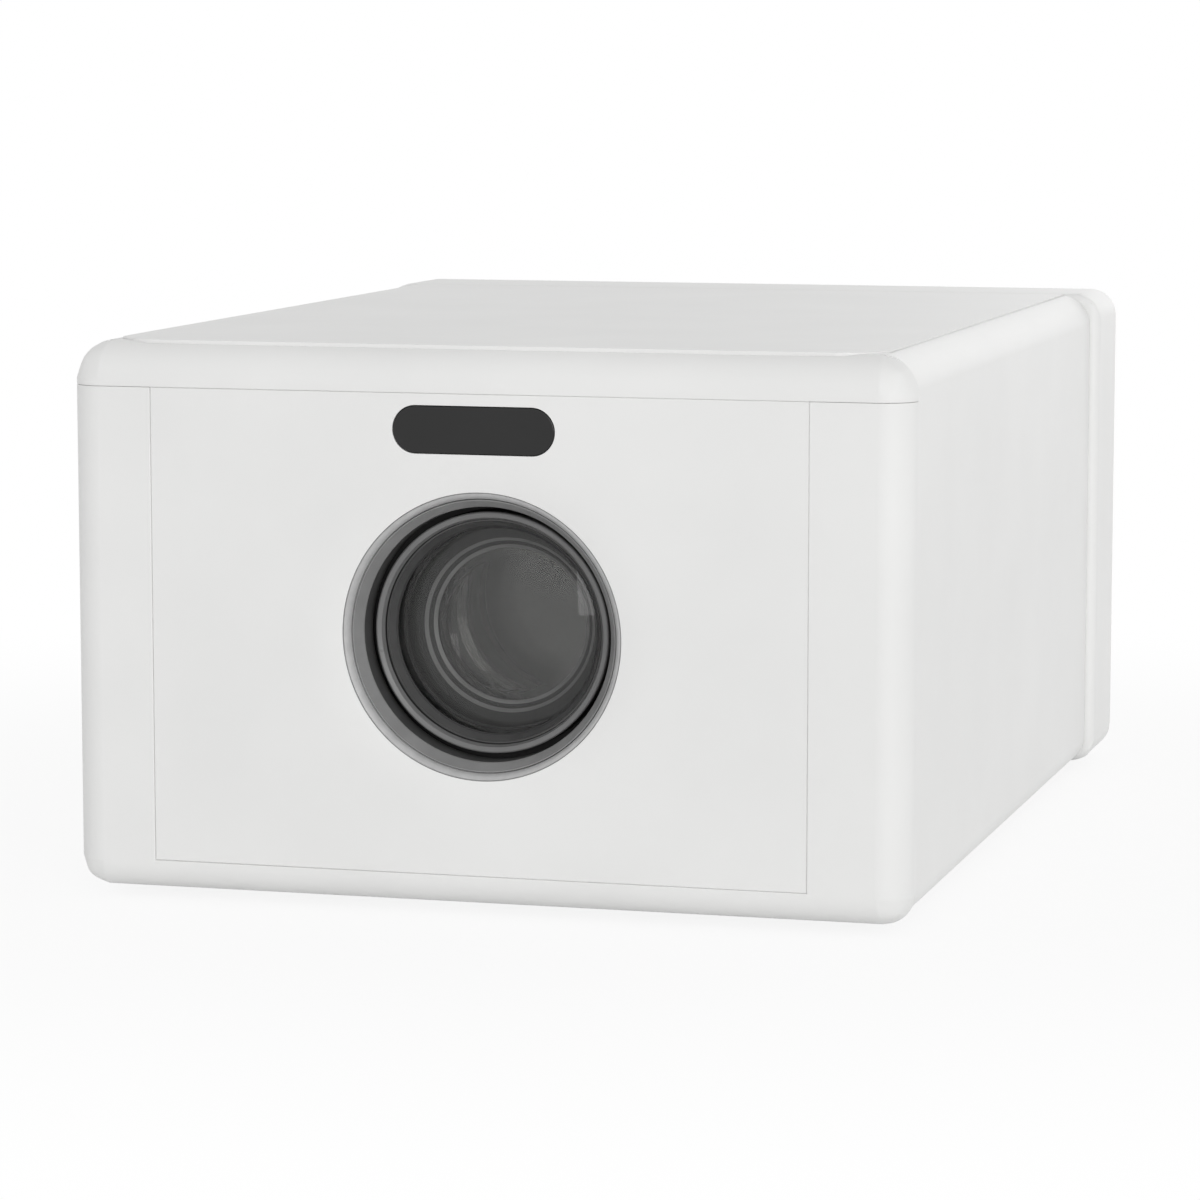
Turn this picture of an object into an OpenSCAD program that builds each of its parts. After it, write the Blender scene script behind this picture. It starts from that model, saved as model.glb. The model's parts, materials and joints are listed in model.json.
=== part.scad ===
// Compact video projector: straight light path, electric focus by a cam ring, rear exhaust.
// Working frame: x across, y from the front face backwards, z up from the underside of the case.
// in_case() then puts the origin at the middle of the footprint, on the surface it stands on.

/* [Case] */
// Width across the front frame
body_w = 160; // [156:1:180]
// Depth from the front face to the rear face
body_d = 222; // [200:1:250]
// Height of the case without its feet
body_h = 103; // [93:1:120]
// Thickness of the moulded walls
wall = 2.4; // [2:0.1:2.8]
// Radius of the upper edges
top_r = 7; // [6:0.5:8]
// Radius of the lower edges
bottom_r = 5.5; // [5:0.5:6]
// Radius of the upright front corners
corner_r = 6.4; // [5:0.2:8]
// Gap at the visible seams
seam = 0.15; // [0.1:0.05:0.4]
// How far the side panels sit in from the front frame
side_inset = 0.6; // [0.3:0.1:1]
// Depth of the front frame at the sides
front_d = 6.4; // [5:0.2:8]
// Distance from the top down to the front seam
brow_h = 8.4; // [8:0.2:10]
// Depth of the rear cover
rear_d = 27; // [24:1:32]
// How far the rear cover stands out past the front frame
rear_proud = 1.5; // [0.4:0.1:2]
// Corner radius of the rear cover
rear_r = 5.5; // [4:0.5:7]
// Radius of the front rim of the rear cover
rear_rim_r = 2; // [1:0.25:2.2]
// Depth of the lips that reach behind the side panels
lip_d = 6; // [5:0.5:8]

/* [Top panel] */
// Thickness of the top panel in the middle
top_t = 3.2; // [2.8:0.2:4]
// Width of the rolled edge
roll_w = 14; // [8:1:16]
// Drop of the rolled edge
roll_drop = 0.4; // [0.2:0.1:0.8]
// Corner radius of the top panel, seen from above
top_corner_r = 10; // [8:1:12]
// Setback of the top panel from the front face
top_front = 4.7; // [4:0.1:6]
// Distance from the outer side to the top seam
side_seam_in = 6.3; // [6:0.1:7]

/* [Front panel] */
// Width of the front panel
panel_w = 125; // [120:1:128]
// Height of the panel's lower edge
panel_low = 5.8; // [5:0.2:7]
// Setback of the panel from the frame's face
panel_inset = 0.25; // [0.1:0.05:0.5]
// Thickness of the panel
panel_t = 2; // [1.6:0.1:2.2]
// Radius of the lens opening
lens_hole_r = 25.3; // [25:0.1:26]
// Outer radius of the dish round the lens opening
dish_r = 32.8; // [31:0.2:36]
// Radius of the dish's curve
dish_curve = 15; // [13:0.5:24]
// Radius of the rolled edge of the lens opening
edge_r = 1.6; // [0.8:0.1:2]
// Sideways shift of the panel and its window from the lens axis
panel_shift = -1.1; // [-2:0.1:2]
// Width of the sensor window
window_w = 30.7; // [26:0.1:34]
// Height of the sensor window
window_h = 8.7; // [7:0.1:9.4]
// Distance from the top down to the middle of the window
window_drop = 15.1; // [15:0.1:16]

/* [Lens] */
// Outer radius of the sliding lens barrel
barrel_r = 22; // [21:0.25:22.5]
// Setback of the barrel's rim from the front face
barrel_front = 7.6; // [7:0.1:8]
// Length of the barrel
barrel_len = 42.4; // [41:0.2:44]
// Thickness of the barrel's front rim
rim_t = 1.1; // [0.9:0.1:1.3]
// Wall of the lens holder
holder_t = 2.35; // [2:0.05:2.5]
// Setback of the grey bezel ring from the front face
bezel_front = 5.2; // [4.6:0.1:6]
// Depth of the bezel ring's sloping face
bezel_slope = 3; // [2:0.25:3.2]
// Inner radius of the bezel ring
bezel_r = 23.7; // [23.2:0.1:24]
// Visible radius of the front lens
glass_r = 17.9; // [16:0.1:18.2]
// Radius of curvature of the front lens
glass_curve = 60; // [50:1:90]
// Radius of the stop ring behind the front lens
stop_r = 13.8; // [11:0.2:15]

/* [Focus drive] */
// Focus travel to each side
focus_travel = 3; // [2:0.25:3]
// Turn of the cam ring to each side, in degrees
focus_turn = 45; // [35:1:46]
// Radius of the cam pins
pin_r = 2; // [1.5:0.1:2.2]
// Wall of the cam ring's sleeve
cam_t = 3.5; // [3:0.1:4]
// Gear module
gear_m = 0.8; // [0.7:0.1:0.9]
// Teeth on the pinion
pinion_teeth = 16; // [16:1:18]
// Radius of the motor shaft
shaft_r = 1.5; // [1:0.1:1.6]
// Direction of the pinion from the lens axis, in degrees
pinion_dir = -35; // [-38:1:-30]

/* [Light engine] */
// Width of the engine case
engine_w = 116; // [112:1:116]
// Room below the engine case, for air and the power board
room_below = 13; // [12.5:0.5:15]
// Room above the engine case, for the main board and its sockets
room_above = 16; // [15.5:0.5:18]
// Share of the light path's depth that the box part of the engine case takes
box_share = 0.406; // [0.39:0.002:0.42]
// Share that the tapered part takes
funnel_share = 0.154; // [0.13:0.002:0.17]
// Width and height of the lamp block
lamp_w = 60; // [58:1:60]
// Thickness of the engine case
engine_t = 2.6; // [2.2:0.1:3]
// Radius of the condenser lens
condenser_r = 21.8; // [19:0.2:22]
// Free depth between the cooling fins and the fan
sink_gap = 17; // [14:1:18]
// Number of cooling fins
fin_count = 11; // [9:2:13]

/* [Fan] */
// Width of the square fan frame
fan_w = 70; // [64:1:72]
// Thickness of the fan
fan_t = 15; // [14:0.5:18]
// Number of blades
blade_count = 7; // [5:1:9]

/* [Rear face] */
// Radius of the speakers
speaker_r = 17; // [14:0.5:17]
// Radius of the power button
button_r = 6; // [4.5:0.25:6.5]
// Travel of the power button
button_travel = 0.5; // [0.3:0.1:0.6]
// Height of the mains inlet and of the power button
low_row_z = 22; // [21:0.5:24]
// Inner radius of the audio jack
jack_r = 1.8; // [1.75:0.05:2]

/* [Base] */
// Height of the rubber feet below the case
foot_h = 2; // [1.5:0.25:4]
// Radius of the rubber feet
foot_r = 7; // [5:0.5:8]
// Radius of the tripod thread at its outer diameter
tripod_r = 3.2; // [3:0.05:3.3]

/* [Hidden] */
$fn = 64;
// Clearances: assembled pieces, running fits, curved pieces of different bodies
fit = 0.1;
run = 0.05;
clear = 0.3;

// Case
half_w = body_w / 2;
side_half = half_w - side_inset;
side_in = side_half - wall;
side_top_r = top_r - side_inset;
side_seam_x = half_w - side_seam_in;
seam_z = body_h - brow_h;
rear_y = body_d - rear_d;
rear_half = half_w + rear_proud;
rear_in = body_d - wall;
lip_t = 2;
lip_half = side_in - fit;
lip_low = wall + fit;
lip_high = body_h - top_t - fit;
lip_r = bottom_r - wall - fit;
ledge_w = 6;
ledge_t = 1.8;
flange_front = front_d + lip_d + seam;
flange_rear = rear_y - lip_d - seam;
// Depth of the corner gussets of the brow
brow_d = top_front + top_corner_r;
// Height of the front pieces and side panels, level with the top panel's rolled edge
shell_h = body_h - roll_drop + seam;
lip_top = min(shell_h - wall - fit, lip_high);
lip_top_r = side_top_r - wall;
// Snap hooks of the top panel
hook_t = 1.6;
hook_w = 8;

// Optical axis
engine_h = body_h - room_below - room_above;
lens_z = room_below + engine_h / 2;

// Screws: head radius, head height, shank radius, clearance hole, pilot hole
head_r = 2.4;
head_h = 1.3;
shank_r = 1.25;
pass_r = 1.5;
pilot_r = shank_r + run;
boss_r = 3.2;
boss_h = 7.5;
screw_len = 8.5;
front_boss_y = front_d + lip_d - boss_r + 0.6;
rear_boss_y = rear_y - lip_d + boss_r - 0.6;
side_boss_x = side_seam_x - boss_r;
side_boss_y = [for (share = [0.28, 0.72]) flange_front + share * (flange_rear - flange_front)];
end_boss_x = 45;

// Front panel
panel_half = panel_w / 2;
panel_high = seam_z - seam;
panel_back = panel_inset + panel_t;
panel_ledge = 2;
collar_t = 2;
collar_back = 8.5;
thick_r = dish_r + 2;
// The dish's curve meets the rolled edge at this slope, in degrees
edge_slope = asin((dish_r - lens_hole_r - edge_r) / (dish_curve - edge_r));
edge_y = panel_inset + dish_curve * (1 - cos(edge_slope)) + edge_r * cos(edge_slope);
thick_back = edge_y + 1.2;
bezel_out_r = lens_hole_r - fit;
bezel_back = collar_back + fit + 1.4;
window_z = body_h - window_drop;
window_t = 1.6;
window_lip = 1.2;
sensor_board_y = collar_back + fit;
sensor_post_x = window_w / 2 + 4.8;
sensor_half = window_h / 2 + 0.6;

// Lens and focus
bore_r = barrel_r + run;
holder_r = bore_r + holder_t;
cam_bore_r = holder_r + run;
cam_r = cam_bore_r + cam_t;
pin_y = 30;
cam_front = 20.2;
cam_back = 42;
gear_front = 36.5;
gear_back = cam_back - 0.2;
clip_t = 1.4;
clip_y = cam_front - clear - clip_t;
clip_depth = 0.7;
// Bead round the barrel's front rim; the holder starts behind its rearmost place
bead_r = barrel_r + 0.4;
bead_d = 1.6;
holder_front = barrel_front + focus_travel + bead_d + 0.4;
shoulder_y = cam_back + clear;
flange_y = 57;
flange_t = 3;
flange_w = engine_w - 24;
flange_h = engine_h - 6;
flange_hole_x = flange_w / 2 - 5;
flange_hole_z = flange_h / 2 - 6;
slot_r = pin_r + 0.15;
pin_tip = cam_r - 0.4;
gear_rim = 4;
ring_teeth = ceil(2 * (cam_r + gear_rim) / gear_m);
ring_pitch_r = ring_teeth * gear_m / 2;
pinion_pitch_r = pinion_teeth * gear_m / 2;
pinion_far = ring_pitch_r + pinion_pitch_r;
pinion_x = pinion_far * cos(pinion_dir);
pinion_z = pinion_far * sin(pinion_dir);
pressure = 20;
backlash = 0.1;
sector = 2 * focus_turn + 40;
// Gear motor: gear box and can
motor_w = 12;
motor_h = 10;
box_back = 34;
box_d = 9;
can_d = 15;
motor_nose_r = shaft_r + 0.7;
motor_nose_d = 0.8;
bracket_t = 1.1;
bracket_y = box_back + motor_nose_d + fit;
bracket_leg_t = 2;
bracket_leg_x = flange_w / 2 - bracket_leg_t;
bracket_foot_t = 1.5;
bracket_low = min(pinion_z - 11, -flange_hole_z - 5);
bracket_high = pinion_z + 7.5;

// Glass inside the barrel
chamber_r = barrel_r - rim_t;
front_glass_r = chamber_r - fit;
front_glass_t = 4.2;
front_glass_y = barrel_front + 5.8;
seat_y = front_glass_y + front_glass_t + fit;
inner_r = chamber_r - 2.4;
small_r = inner_r - fit;
stop_t = 5.4;
middle_y = seat_y + stop_t + fit;
middle_t = 4.4;
middle_curve = 45;
rear_lens_y = middle_y + middle_t + 11.6;
rear_lens_t = 7;
rear_lens_curve = 48;
retainer_y = rear_lens_y + rear_lens_t + fit;
barrel_back = barrel_front + barrel_len;

// Fan
fan_back = rear_in - 1.8;
fan_front = fan_back - fan_t;
fan_bore_r = fan_w / 2 - 1.8;
rotor_r = fan_bore_r - 0.8;
hub_r = 15;
hub_t = 1.6;
fan_hole = fan_w / 2 - 4.5;
fan_shaft_r = 1.5;
grille_r = fan_w / 2 - 0.7;
grille_lip = 2.7;
grille_gap = 3;
grille_bar = 2.4;

// Light engine
engine_front = flange_y + flange_t + fit;
light_room = fan_front - engine_front;
engine_d = light_room * box_share;
funnel_d = light_room * funnel_share;
engine_back = engine_front + engine_d;
funnel_back = engine_back + funnel_d;
lamp_d = 12;
lamp_back = funnel_back + lamp_d;
engine_half_w = engine_w / 2;
engine_half_h = engine_h / 2;
lamp_half = lamp_w / 2;
groove_d = 1.2;
groove_gap = 0.15;
exit_r = glass_r;
front_fresnel_y = engine_front + 0.41 * engine_d;
lcd_y = engine_front + 0.59 * engine_d;
heat_glass_y = engine_front + 0.725 * engine_d;
rear_fresnel_y = engine_front + 0.845 * engine_d;
fresnel_t = 2;
lcd_t = 2.2;
heat_glass_t = 1.1;
flex_w = 30;
flex_t = 0.3;
ear_x = engine_half_w + 4;
ear_half = 4;
ear_t = 2.5;
ear_y = [engine_front + 0.17 * engine_d, engine_front + 0.8 * engine_d];
engine_low = lens_z - engine_half_h;
engine_high = lens_z + engine_half_h;
condenser_y = funnel_back + 1;
condenser_t = 7.4;
condenser_curve = 40;
lamp_hole_r = 16;
led_board_w = 44;
led_board_t = 1.6;
led_w = 14;
led_t = 1.4;
sink_front = lamp_back + led_board_t + fit;
sink_t = 6;
fin_d = fan_front - sink_gap - sink_front - sink_t;
fin_t = 1.4;
fin_pitch = (lamp_w - fin_t - 2) / (fin_count - 1);
sink_screw_x = fin_pitch * (fin_count - 2) / 2;
sink_screw_z = lamp_half - 4.8;
// Smaller screws, so that their heads fit between the fins
sink_screw_size = 0.8;

// Main board and sockets
board_t = 1.6;
board_half = 52;
board_low = engine_high + 2.6;
board_top = board_low + board_t;
board_front = engine_front + 12;
board_back = rear_in - 1.2;
board_hole_x = board_half - 6;
board_hole_y = [board_front + 8, board_back - 6];
socket_face = body_d - 0.6;
video_x = -30;
video_size = [15, 11.7, 6];
data_x = [-8, 12];
data_size = [13.2, 14, 6];
jack_x = 32;
jack_size = [8, 12, 6.4];
jack_len = 14;
jack_nose_r = jack_r + 1.2;

// Base
foot_in = 18;
foot_y = [24, rear_y - 15];
foot_sink = 0.8;
vent_count = 9;
vent_w = 3;
vent_pitch = 7;
nut_r = 5;
nut_flange_r = 7;
nut_len = 10;
tripod_y = body_d / 2;
tripod_boss_r = nut_r + 3.5;

// Power board, mains inlet, button, speakers
power_low = wall + 3.6;
// Height left for the parts below the heat sink
power_room = lens_z - lamp_half - power_low - board_t - 1.2;
power_y = [tripod_y + tripod_boss_r + 4, rear_y - lip_d - 8];
power_half = 48;
power_post_x = power_half - 5;
power_post_y = [power_y[0] + 5, power_y[1] - 5];
side_x = half_w - 22;
inlet_w = 23;
inlet_h = 13;
inlet_recess_w = 18.4;
inlet_recess_h = 9.4;
inlet_d = 15;
inlet_lip = 3;
inlet_pin_x = 4.3;
inlet_pin_r = 1.2;
button_face = body_d - 0.2;
button_lip = 1.4;
button_lip_t = 2.3;
button_back = rear_in - clear - button_lip_t;
key_board_y = rear_in - 12.6;
key_post_x = button_r + 5;
switch_w = 6;
switch_t = 3.4;
plunger_r = 1.75;
plunger_y = key_board_y + board_t + switch_t;
speaker_z = lens_z + 12.5;
speaker_d = 16;

// Placing and shared shapes

module in_case() translate([0, -body_d / 2, foot_h]) children();

module on_axis() in_case() translate([0, 0, lens_z]) children();

module both_sides() {
    children();
    mirror([1, 0, 0]) children();
}

module box(x0, x1, y0, y1, z0, z1) translate([x0, y0, z0]) cube([x1 - x0, y1 - y0, z1 - z0]);

module slab(half, y0, y1, z0, z1) box(-half, half, y0, y1, z0, z1);

module along_y(y0, y1) translate([0, y1, 0]) rotate([90, 0, 0]) linear_extrude(y1 - y0) children();

module along_x(x0, x1) translate([x0, 0, 0]) rotate([90, 0, 90]) linear_extrude(x1 - x0) children();

module rod_y(r, y0, y1) translate([0, y0, 0]) rotate([-90, 0, 0]) cylinder(r = r, h = y1 - y0);

module rod_z(r, z0, z1) translate([0, 0, z0]) cylinder(r = r, h = z1 - z0);

module tube_y(r_out, r_in, y0, y1) difference() {
    rod_y(r_out, y0, y1);
    rod_y(r_in, y0 - 1, y1 + 1);
}

// Spins an outline of [radius, y] points round the y axis
module spun_y(points) rotate([-90, 0, 0]) rotate_extrude($fn = 96) polygon(points);

// Rectangle with its own radius at the lower and at the upper corners
module band(half, low, high, r_low, r_high) {
    translate([-half, low + r_low]) square([2 * half, high - low - r_low - r_high]);
    translate([r_low - half, low]) square([2 * (half - r_low), r_low]);
    translate([r_high - half, high - r_high]) square([2 * (half - r_high), r_high]);
    for (side = [-1, 1]) {
        translate([side * (half - r_low), low + r_low]) circle(r_low);
        translate([side * (half - r_high), high - r_high]) circle(r_high);
    }
}

module pill(w, h) {
    square([w - h, h], center = true);
    for (side = [-1, 1]) translate([side * (w - h) / 2, 0]) circle(h / 2);
}

// Screw along +z, with its seat at z = 0 and its head above
module screw(length) {
    cylinder(r = head_r, h = head_h);
    translate([0, 0, -length]) cylinder(r = shank_r, h = length + head_h / 2);
}

// Case shells

// Outline from above, with rounded front corners
module plan_outline(half, front, r) {
    translate([-half, front + r]) square([2 * half, body_d]);
    translate([r - half, front]) square([2 * (half - r), body_d]);
    for (side = [-1, 1]) translate([side * (half - r), front + r]) circle(r);
}

// Outline from the side, with rounded front edges
module side_outline(front, low, high, r_low, r_high) {
    translate([front, low + r_low]) square([body_d, high - low - r_low - r_high]);
    translate([front + r_low, low]) square([body_d - r_low, r_low + 1]);
    translate([front + r_high, high - r_high - 1]) square([body_d - r_high, r_high + 1]);
    translate([front + r_low, low + r_low]) circle(r_low);
    translate([front + r_high, high - r_high]) circle(r_high);
}

// The rounded block that the front pieces are cut from, shrunk by inset
module body_form(inset) intersection() {
    along_y(inset - 1, body_d)
        band(half_w - inset, inset, shell_h - inset, bottom_r - inset, top_r - inset);
    translate([0, 0, -1]) linear_extrude(body_h + 2)
        plan_outline(half_w - inset, inset, corner_r - inset);
    along_x(-body_w, body_w)
        side_outline(inset, inset, shell_h - inset, bottom_r - inset, top_r - inset);
}

module front_skin() difference() {
    body_form(0);
    body_form(wall);
}

// Ring that reaches behind the side panels and above the base tray
module lip_ring(high) difference() {
    band(lip_half, lip_low, high, lip_r, lip_top_r);
    band(lip_half - lip_t, lip_low + lip_t, high - lip_t, lip_r - 1, lip_top_r - lip_t);
}

module panel_opening(grow) translate([panel_shift, 0, 0])
    slab(panel_half + grow, -1, body_d, panel_low - grow, body_h);

module front_frame() color("whitesmoke") in_case() difference() {
    union() {
        intersection() {
            front_skin();
            slab(body_w, -1, front_d, -1, seam_z - seam / 2);
        }
        // Lip, open at the top
        intersection() {
            along_y(wall - 0.4, front_d + lip_d) lip_ring(body_h);
            slab(body_w, 0, body_d, 0, seam_z - seam / 2);
        }
        // Ledge that the front panel seats on
        intersection() {
            translate([panel_shift, 0, 0])
                slab(panel_half + panel_ledge, wall - 0.2, wall + fit + 1.5, lip_low, seam_z - seam / 2);
            body_form(wall - 0.3);
        }
        for (side = [-1, 1])
            translate([side * end_boss_x, front_boss_y, 0]) rod_z(boss_r, lip_low, lip_low + boss_h);
    }
    panel_opening(-panel_ledge);
    intersection() {
        panel_opening(0);
        slab(body_w, -1, wall + fit, 0, body_h);
    }
    for (side = [-1, 1])
        translate([side * end_boss_x, front_boss_y, 0]) rod_z(pilot_r, 0, lip_low + boss_h - 1);
}

// Top panel outline from above, grown by a gap
module top_outline(gap) intersection() {
    plan_outline(side_seam_x - seam + gap, top_front - gap, top_corner_r + gap);
    translate([-body_w, 0]) square([2 * body_w, rear_y - seam + gap]);
}

module front_brow() color("whitesmoke") in_case() {
    difference() {
        intersection() {
            front_skin();
            slab(body_w, -1, brow_d, seam_z + seam / 2, body_h + 1);
        }
        translate([0, 0, seam_z]) linear_extrude(body_h) top_outline(seam);
        both_sides() box(side_seam_x - seam, body_w, front_d, body_d, 0, body_h + 1);
    }
    // Ledge below the front of the top panel, and tabs behind the corner posts
    intersection() {
        union() {
            slab(side_seam_x - ledge_w - 4, wall - 0.4, top_front + 7, lip_high - ledge_t, lip_high);
            both_sides() {
                box(panel_half + panel_ledge + 2.5, lip_half - lip_t - 1.2,
                    wall + fit, wall + 2.2, seam_z - 7, lip_high - ledge_t / 2);
                box(panel_half - 30, lip_half - lip_t - 1.2,
                    wall - 0.4, wall + 2.2, lip_high - ledge_t - 1.2, lip_high - ledge_t / 2);
            }
        }
        body_form(1);
    }
}

// Trumpet-shaped cutter: the dish's curve, then the rolled edge of the lens opening
module dish_cut() rotate([-90, 0, 0]) rotate_extrude($fn = 96) difference() {
    translate([0, panel_inset - 1]) square([dish_r, edge_y - panel_inset + 1]);
    intersection() {
        translate([dish_r, panel_inset + dish_curve]) circle(dish_curve);
        translate([dish_r - dish_curve * sin(edge_slope), 0]) square(2 * dish_curve);
    }
    translate([lens_hole_r + edge_r, edge_y]) circle(edge_r);
}

module front_panel() color("whitesmoke") in_case() {
    difference() {
        union() {
            translate([panel_shift, 0, 0])
                slab(panel_half - seam, panel_inset, panel_back, panel_low + seam, panel_high);
            translate([0, 0, lens_z]) {
                rod_y(thick_r, panel_inset, thick_back);
                rod_y(lens_hole_r + collar_t, panel_inset, collar_back);
            }
            // Posts for the sensor board
            for (side = [-1, 1]) translate([panel_shift + side * sensor_post_x, 0, window_z])
                rod_y(2.2, panel_back - 0.4, sensor_board_y);
        }
        translate([0, 0, lens_z]) {
            rod_y(lens_hole_r, -1, collar_back + 1);
            dish_cut();
        }
        translate([panel_shift, 0, window_z]) along_y(-1, panel_back + 1)
            pill(window_w + 2 * fit, window_h + 2 * fit);
        // Pocket for the window's rim in the thick ring
        translate([panel_shift, 0, window_z]) along_y(panel_back, thick_back + 1)
            pill(window_w + 2 * window_lip + 4 * fit, window_h + 2 * window_lip + 4 * fit);
        for (side = [-1, 1]) translate([panel_shift + side * sensor_post_x, 0, window_z])
            rod_y(0.9, panel_back + 1, sensor_board_y + 1);
    }
}

// Grey ring in the lens opening, held behind the panel's collar
module lens_bezel() color("gray") on_axis() spun_y([
    [bezel_r, bezel_front + bezel_slope], [bezel_out_r - 0.3, bezel_front], [bezel_out_r, bezel_front + 0.3],
    [bezel_out_r, collar_back + fit], [lens_hole_r + collar_t, collar_back + fit],
    [lens_hole_r + collar_t, bezel_back], [bezel_r, bezel_back]]);

module sensor_window() color("#383838") in_case() translate([panel_shift, 0, window_z]) {
    along_y(panel_inset, panel_back + fit + 0.2) pill(window_w, window_h);
    along_y(panel_back + fit, panel_back + fit + window_t)
        pill(window_w + 2 * window_lip, window_h + 2 * window_lip);
}

module sensor_board() color("darkgreen") in_case() translate([panel_shift, 0, window_z]) {
    difference() {
        slab(sensor_post_x + 4, sensor_board_y, sensor_board_y + 1.2, -sensor_half, sensor_half);
        for (side = [-1, 1]) translate([side * sensor_post_x, 0, 0])
            rod_y(0.9, sensor_board_y - 1, sensor_board_y + 3);
    }
    // Infrared receiver and ranging module
    box(-11, -4, sensor_board_y - 1.6, sensor_board_y, -3, 3);
    box(3, 9, sensor_board_y - 1.2, sensor_board_y, -2, 2);
}

// Plate profile with a soft roll at the ends listed in rolls
module rolled_profile(low_end, high_end, rolls) {
    curve = (roll_w * roll_w + roll_drop * roll_drop) / (2 * roll_drop);
    flat_low = low_end + rolls[0] * roll_w;
    flat_high = high_end - rolls[1] * roll_w;
    intersection() {
        union() {
            translate([flat_low, -body_h]) square([flat_high - flat_low, body_h]);
            if (rolls[0] > 0) translate([flat_low, -curve]) circle(curve, $fn = 96);
            if (rolls[1] > 0) translate([flat_high, -curve]) circle(curve, $fn = 96);
        }
        translate([low_end, -top_t]) square([high_end - low_end, top_t]);
    }
}

module top_panel() color("gainsboro") in_case() {
    half = side_seam_x - seam;
    intersection() {
        translate([0, 0, body_h]) along_y(0, body_d) rolled_profile(-half, half, [1, 1]);
        translate([0, 0, body_h]) along_x(-body_w, body_w)
            rolled_profile(top_front, rear_y - seam, [1, 0]);
        linear_extrude(body_h + 1) top_outline(0);
    }
    // Stiffening ribs
    for (y = [front_d + 40, rear_y - 40])
        slab(half - ledge_w - 4, y, y + 1.6, lip_high - 2.6, body_h - top_t + 0.2);
    // Snap hooks that reach below the ledges of the side panels
    hook_x = side_seam_x - ledge_w - seam;
    hook_z = lip_high - ledge_t - fit;
    for (share = [0.2, 0.5, 0.8]) both_sides() {
        y = flange_front + share * (flange_rear - flange_front);
        box(hook_x - hook_t, hook_x, y, y + hook_w, hook_z - hook_t, body_h - top_t + 0.2);
        box(hook_x - hook_t, hook_x + hook_t, y, y + hook_w, hook_z - hook_t, hook_z);
    }
}

// One side: skin with rounded edges, ledges for the top panel and the base tray
module side_panel() difference() {
    union() {
        along_y(front_d + seam, rear_y - seam) intersection() {
            difference() {
                band(side_half, 0, shell_h, bottom_r, side_top_r);
                band(side_in, wall, shell_h - wall, bottom_r - wall, side_top_r - wall);
            }
            translate([side_seam_x, 0]) square([body_w, body_h]);
        }
        along_y(flange_front, flange_rear) intersection() {
            for (z = [lip_low, lip_high - ledge_t]) translate([side_seam_x - ledge_w, z])
                square([side_in - side_seam_x + ledge_w + 0.5, ledge_t]);
            band(side_half - 1, 1, shell_h - 1, bottom_r - 1, side_top_r - 1);
        }
        for (y = side_boss_y) translate([side_boss_x, y, 0])
            rod_z(boss_r - 0.4, lip_low, lip_low + boss_h);
    }
    for (y = side_boss_y) translate([side_boss_x, y, 0]) rod_z(pilot_r, 0, lip_low + boss_h - 1);
}

module side_panel_right() color("whitesmoke") in_case() side_panel();

module side_panel_left() color("whitesmoke") in_case() mirror([1, 0, 0]) side_panel();

// Rear cover

module rear_form() intersection() {
    along_y(rear_y - 1, body_d + 1) band(rear_half, 0, body_h, rear_r, rear_r);
    translate([0, 0, -1]) linear_extrude(body_h + 2)
        translate([0, body_d]) mirror([0, 1]) band(rear_half, 0, rear_d, rear_r - 0.5, rear_rim_r);
    along_x(-body_w, body_w) translate([body_d, body_h / 2]) rotate(90)
        band(body_h / 2, 0, rear_d, rear_r - 0.5, rear_rim_r);
}

module at_ports() {
    translate([video_x, 0, board_top + video_size[2] / 2]) children(0);
    for (x = data_x) translate([x, 0, board_top + data_size[2] / 2]) children(1);
    translate([jack_x, 0, board_top + jack_size[2] / 2]) children(2);
}

module port_cut(size) slab(size[0] / 2 + clear, rear_in - 1, body_d + 1,
    -size[2] / 2 - clear, size[2] / 2 + clear);

// Slots in front of each speaker
module speaker_slots() for (step = [-2:2]) {
    reach = sqrt(pow(speaker_r - 4, 2) - pow(step * 5, 2));
    translate([step * 5, 0, 0]) along_y(rear_in - 1, body_d + 1) rotate(90) pill(2 * reach, 2.2);
}

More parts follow.
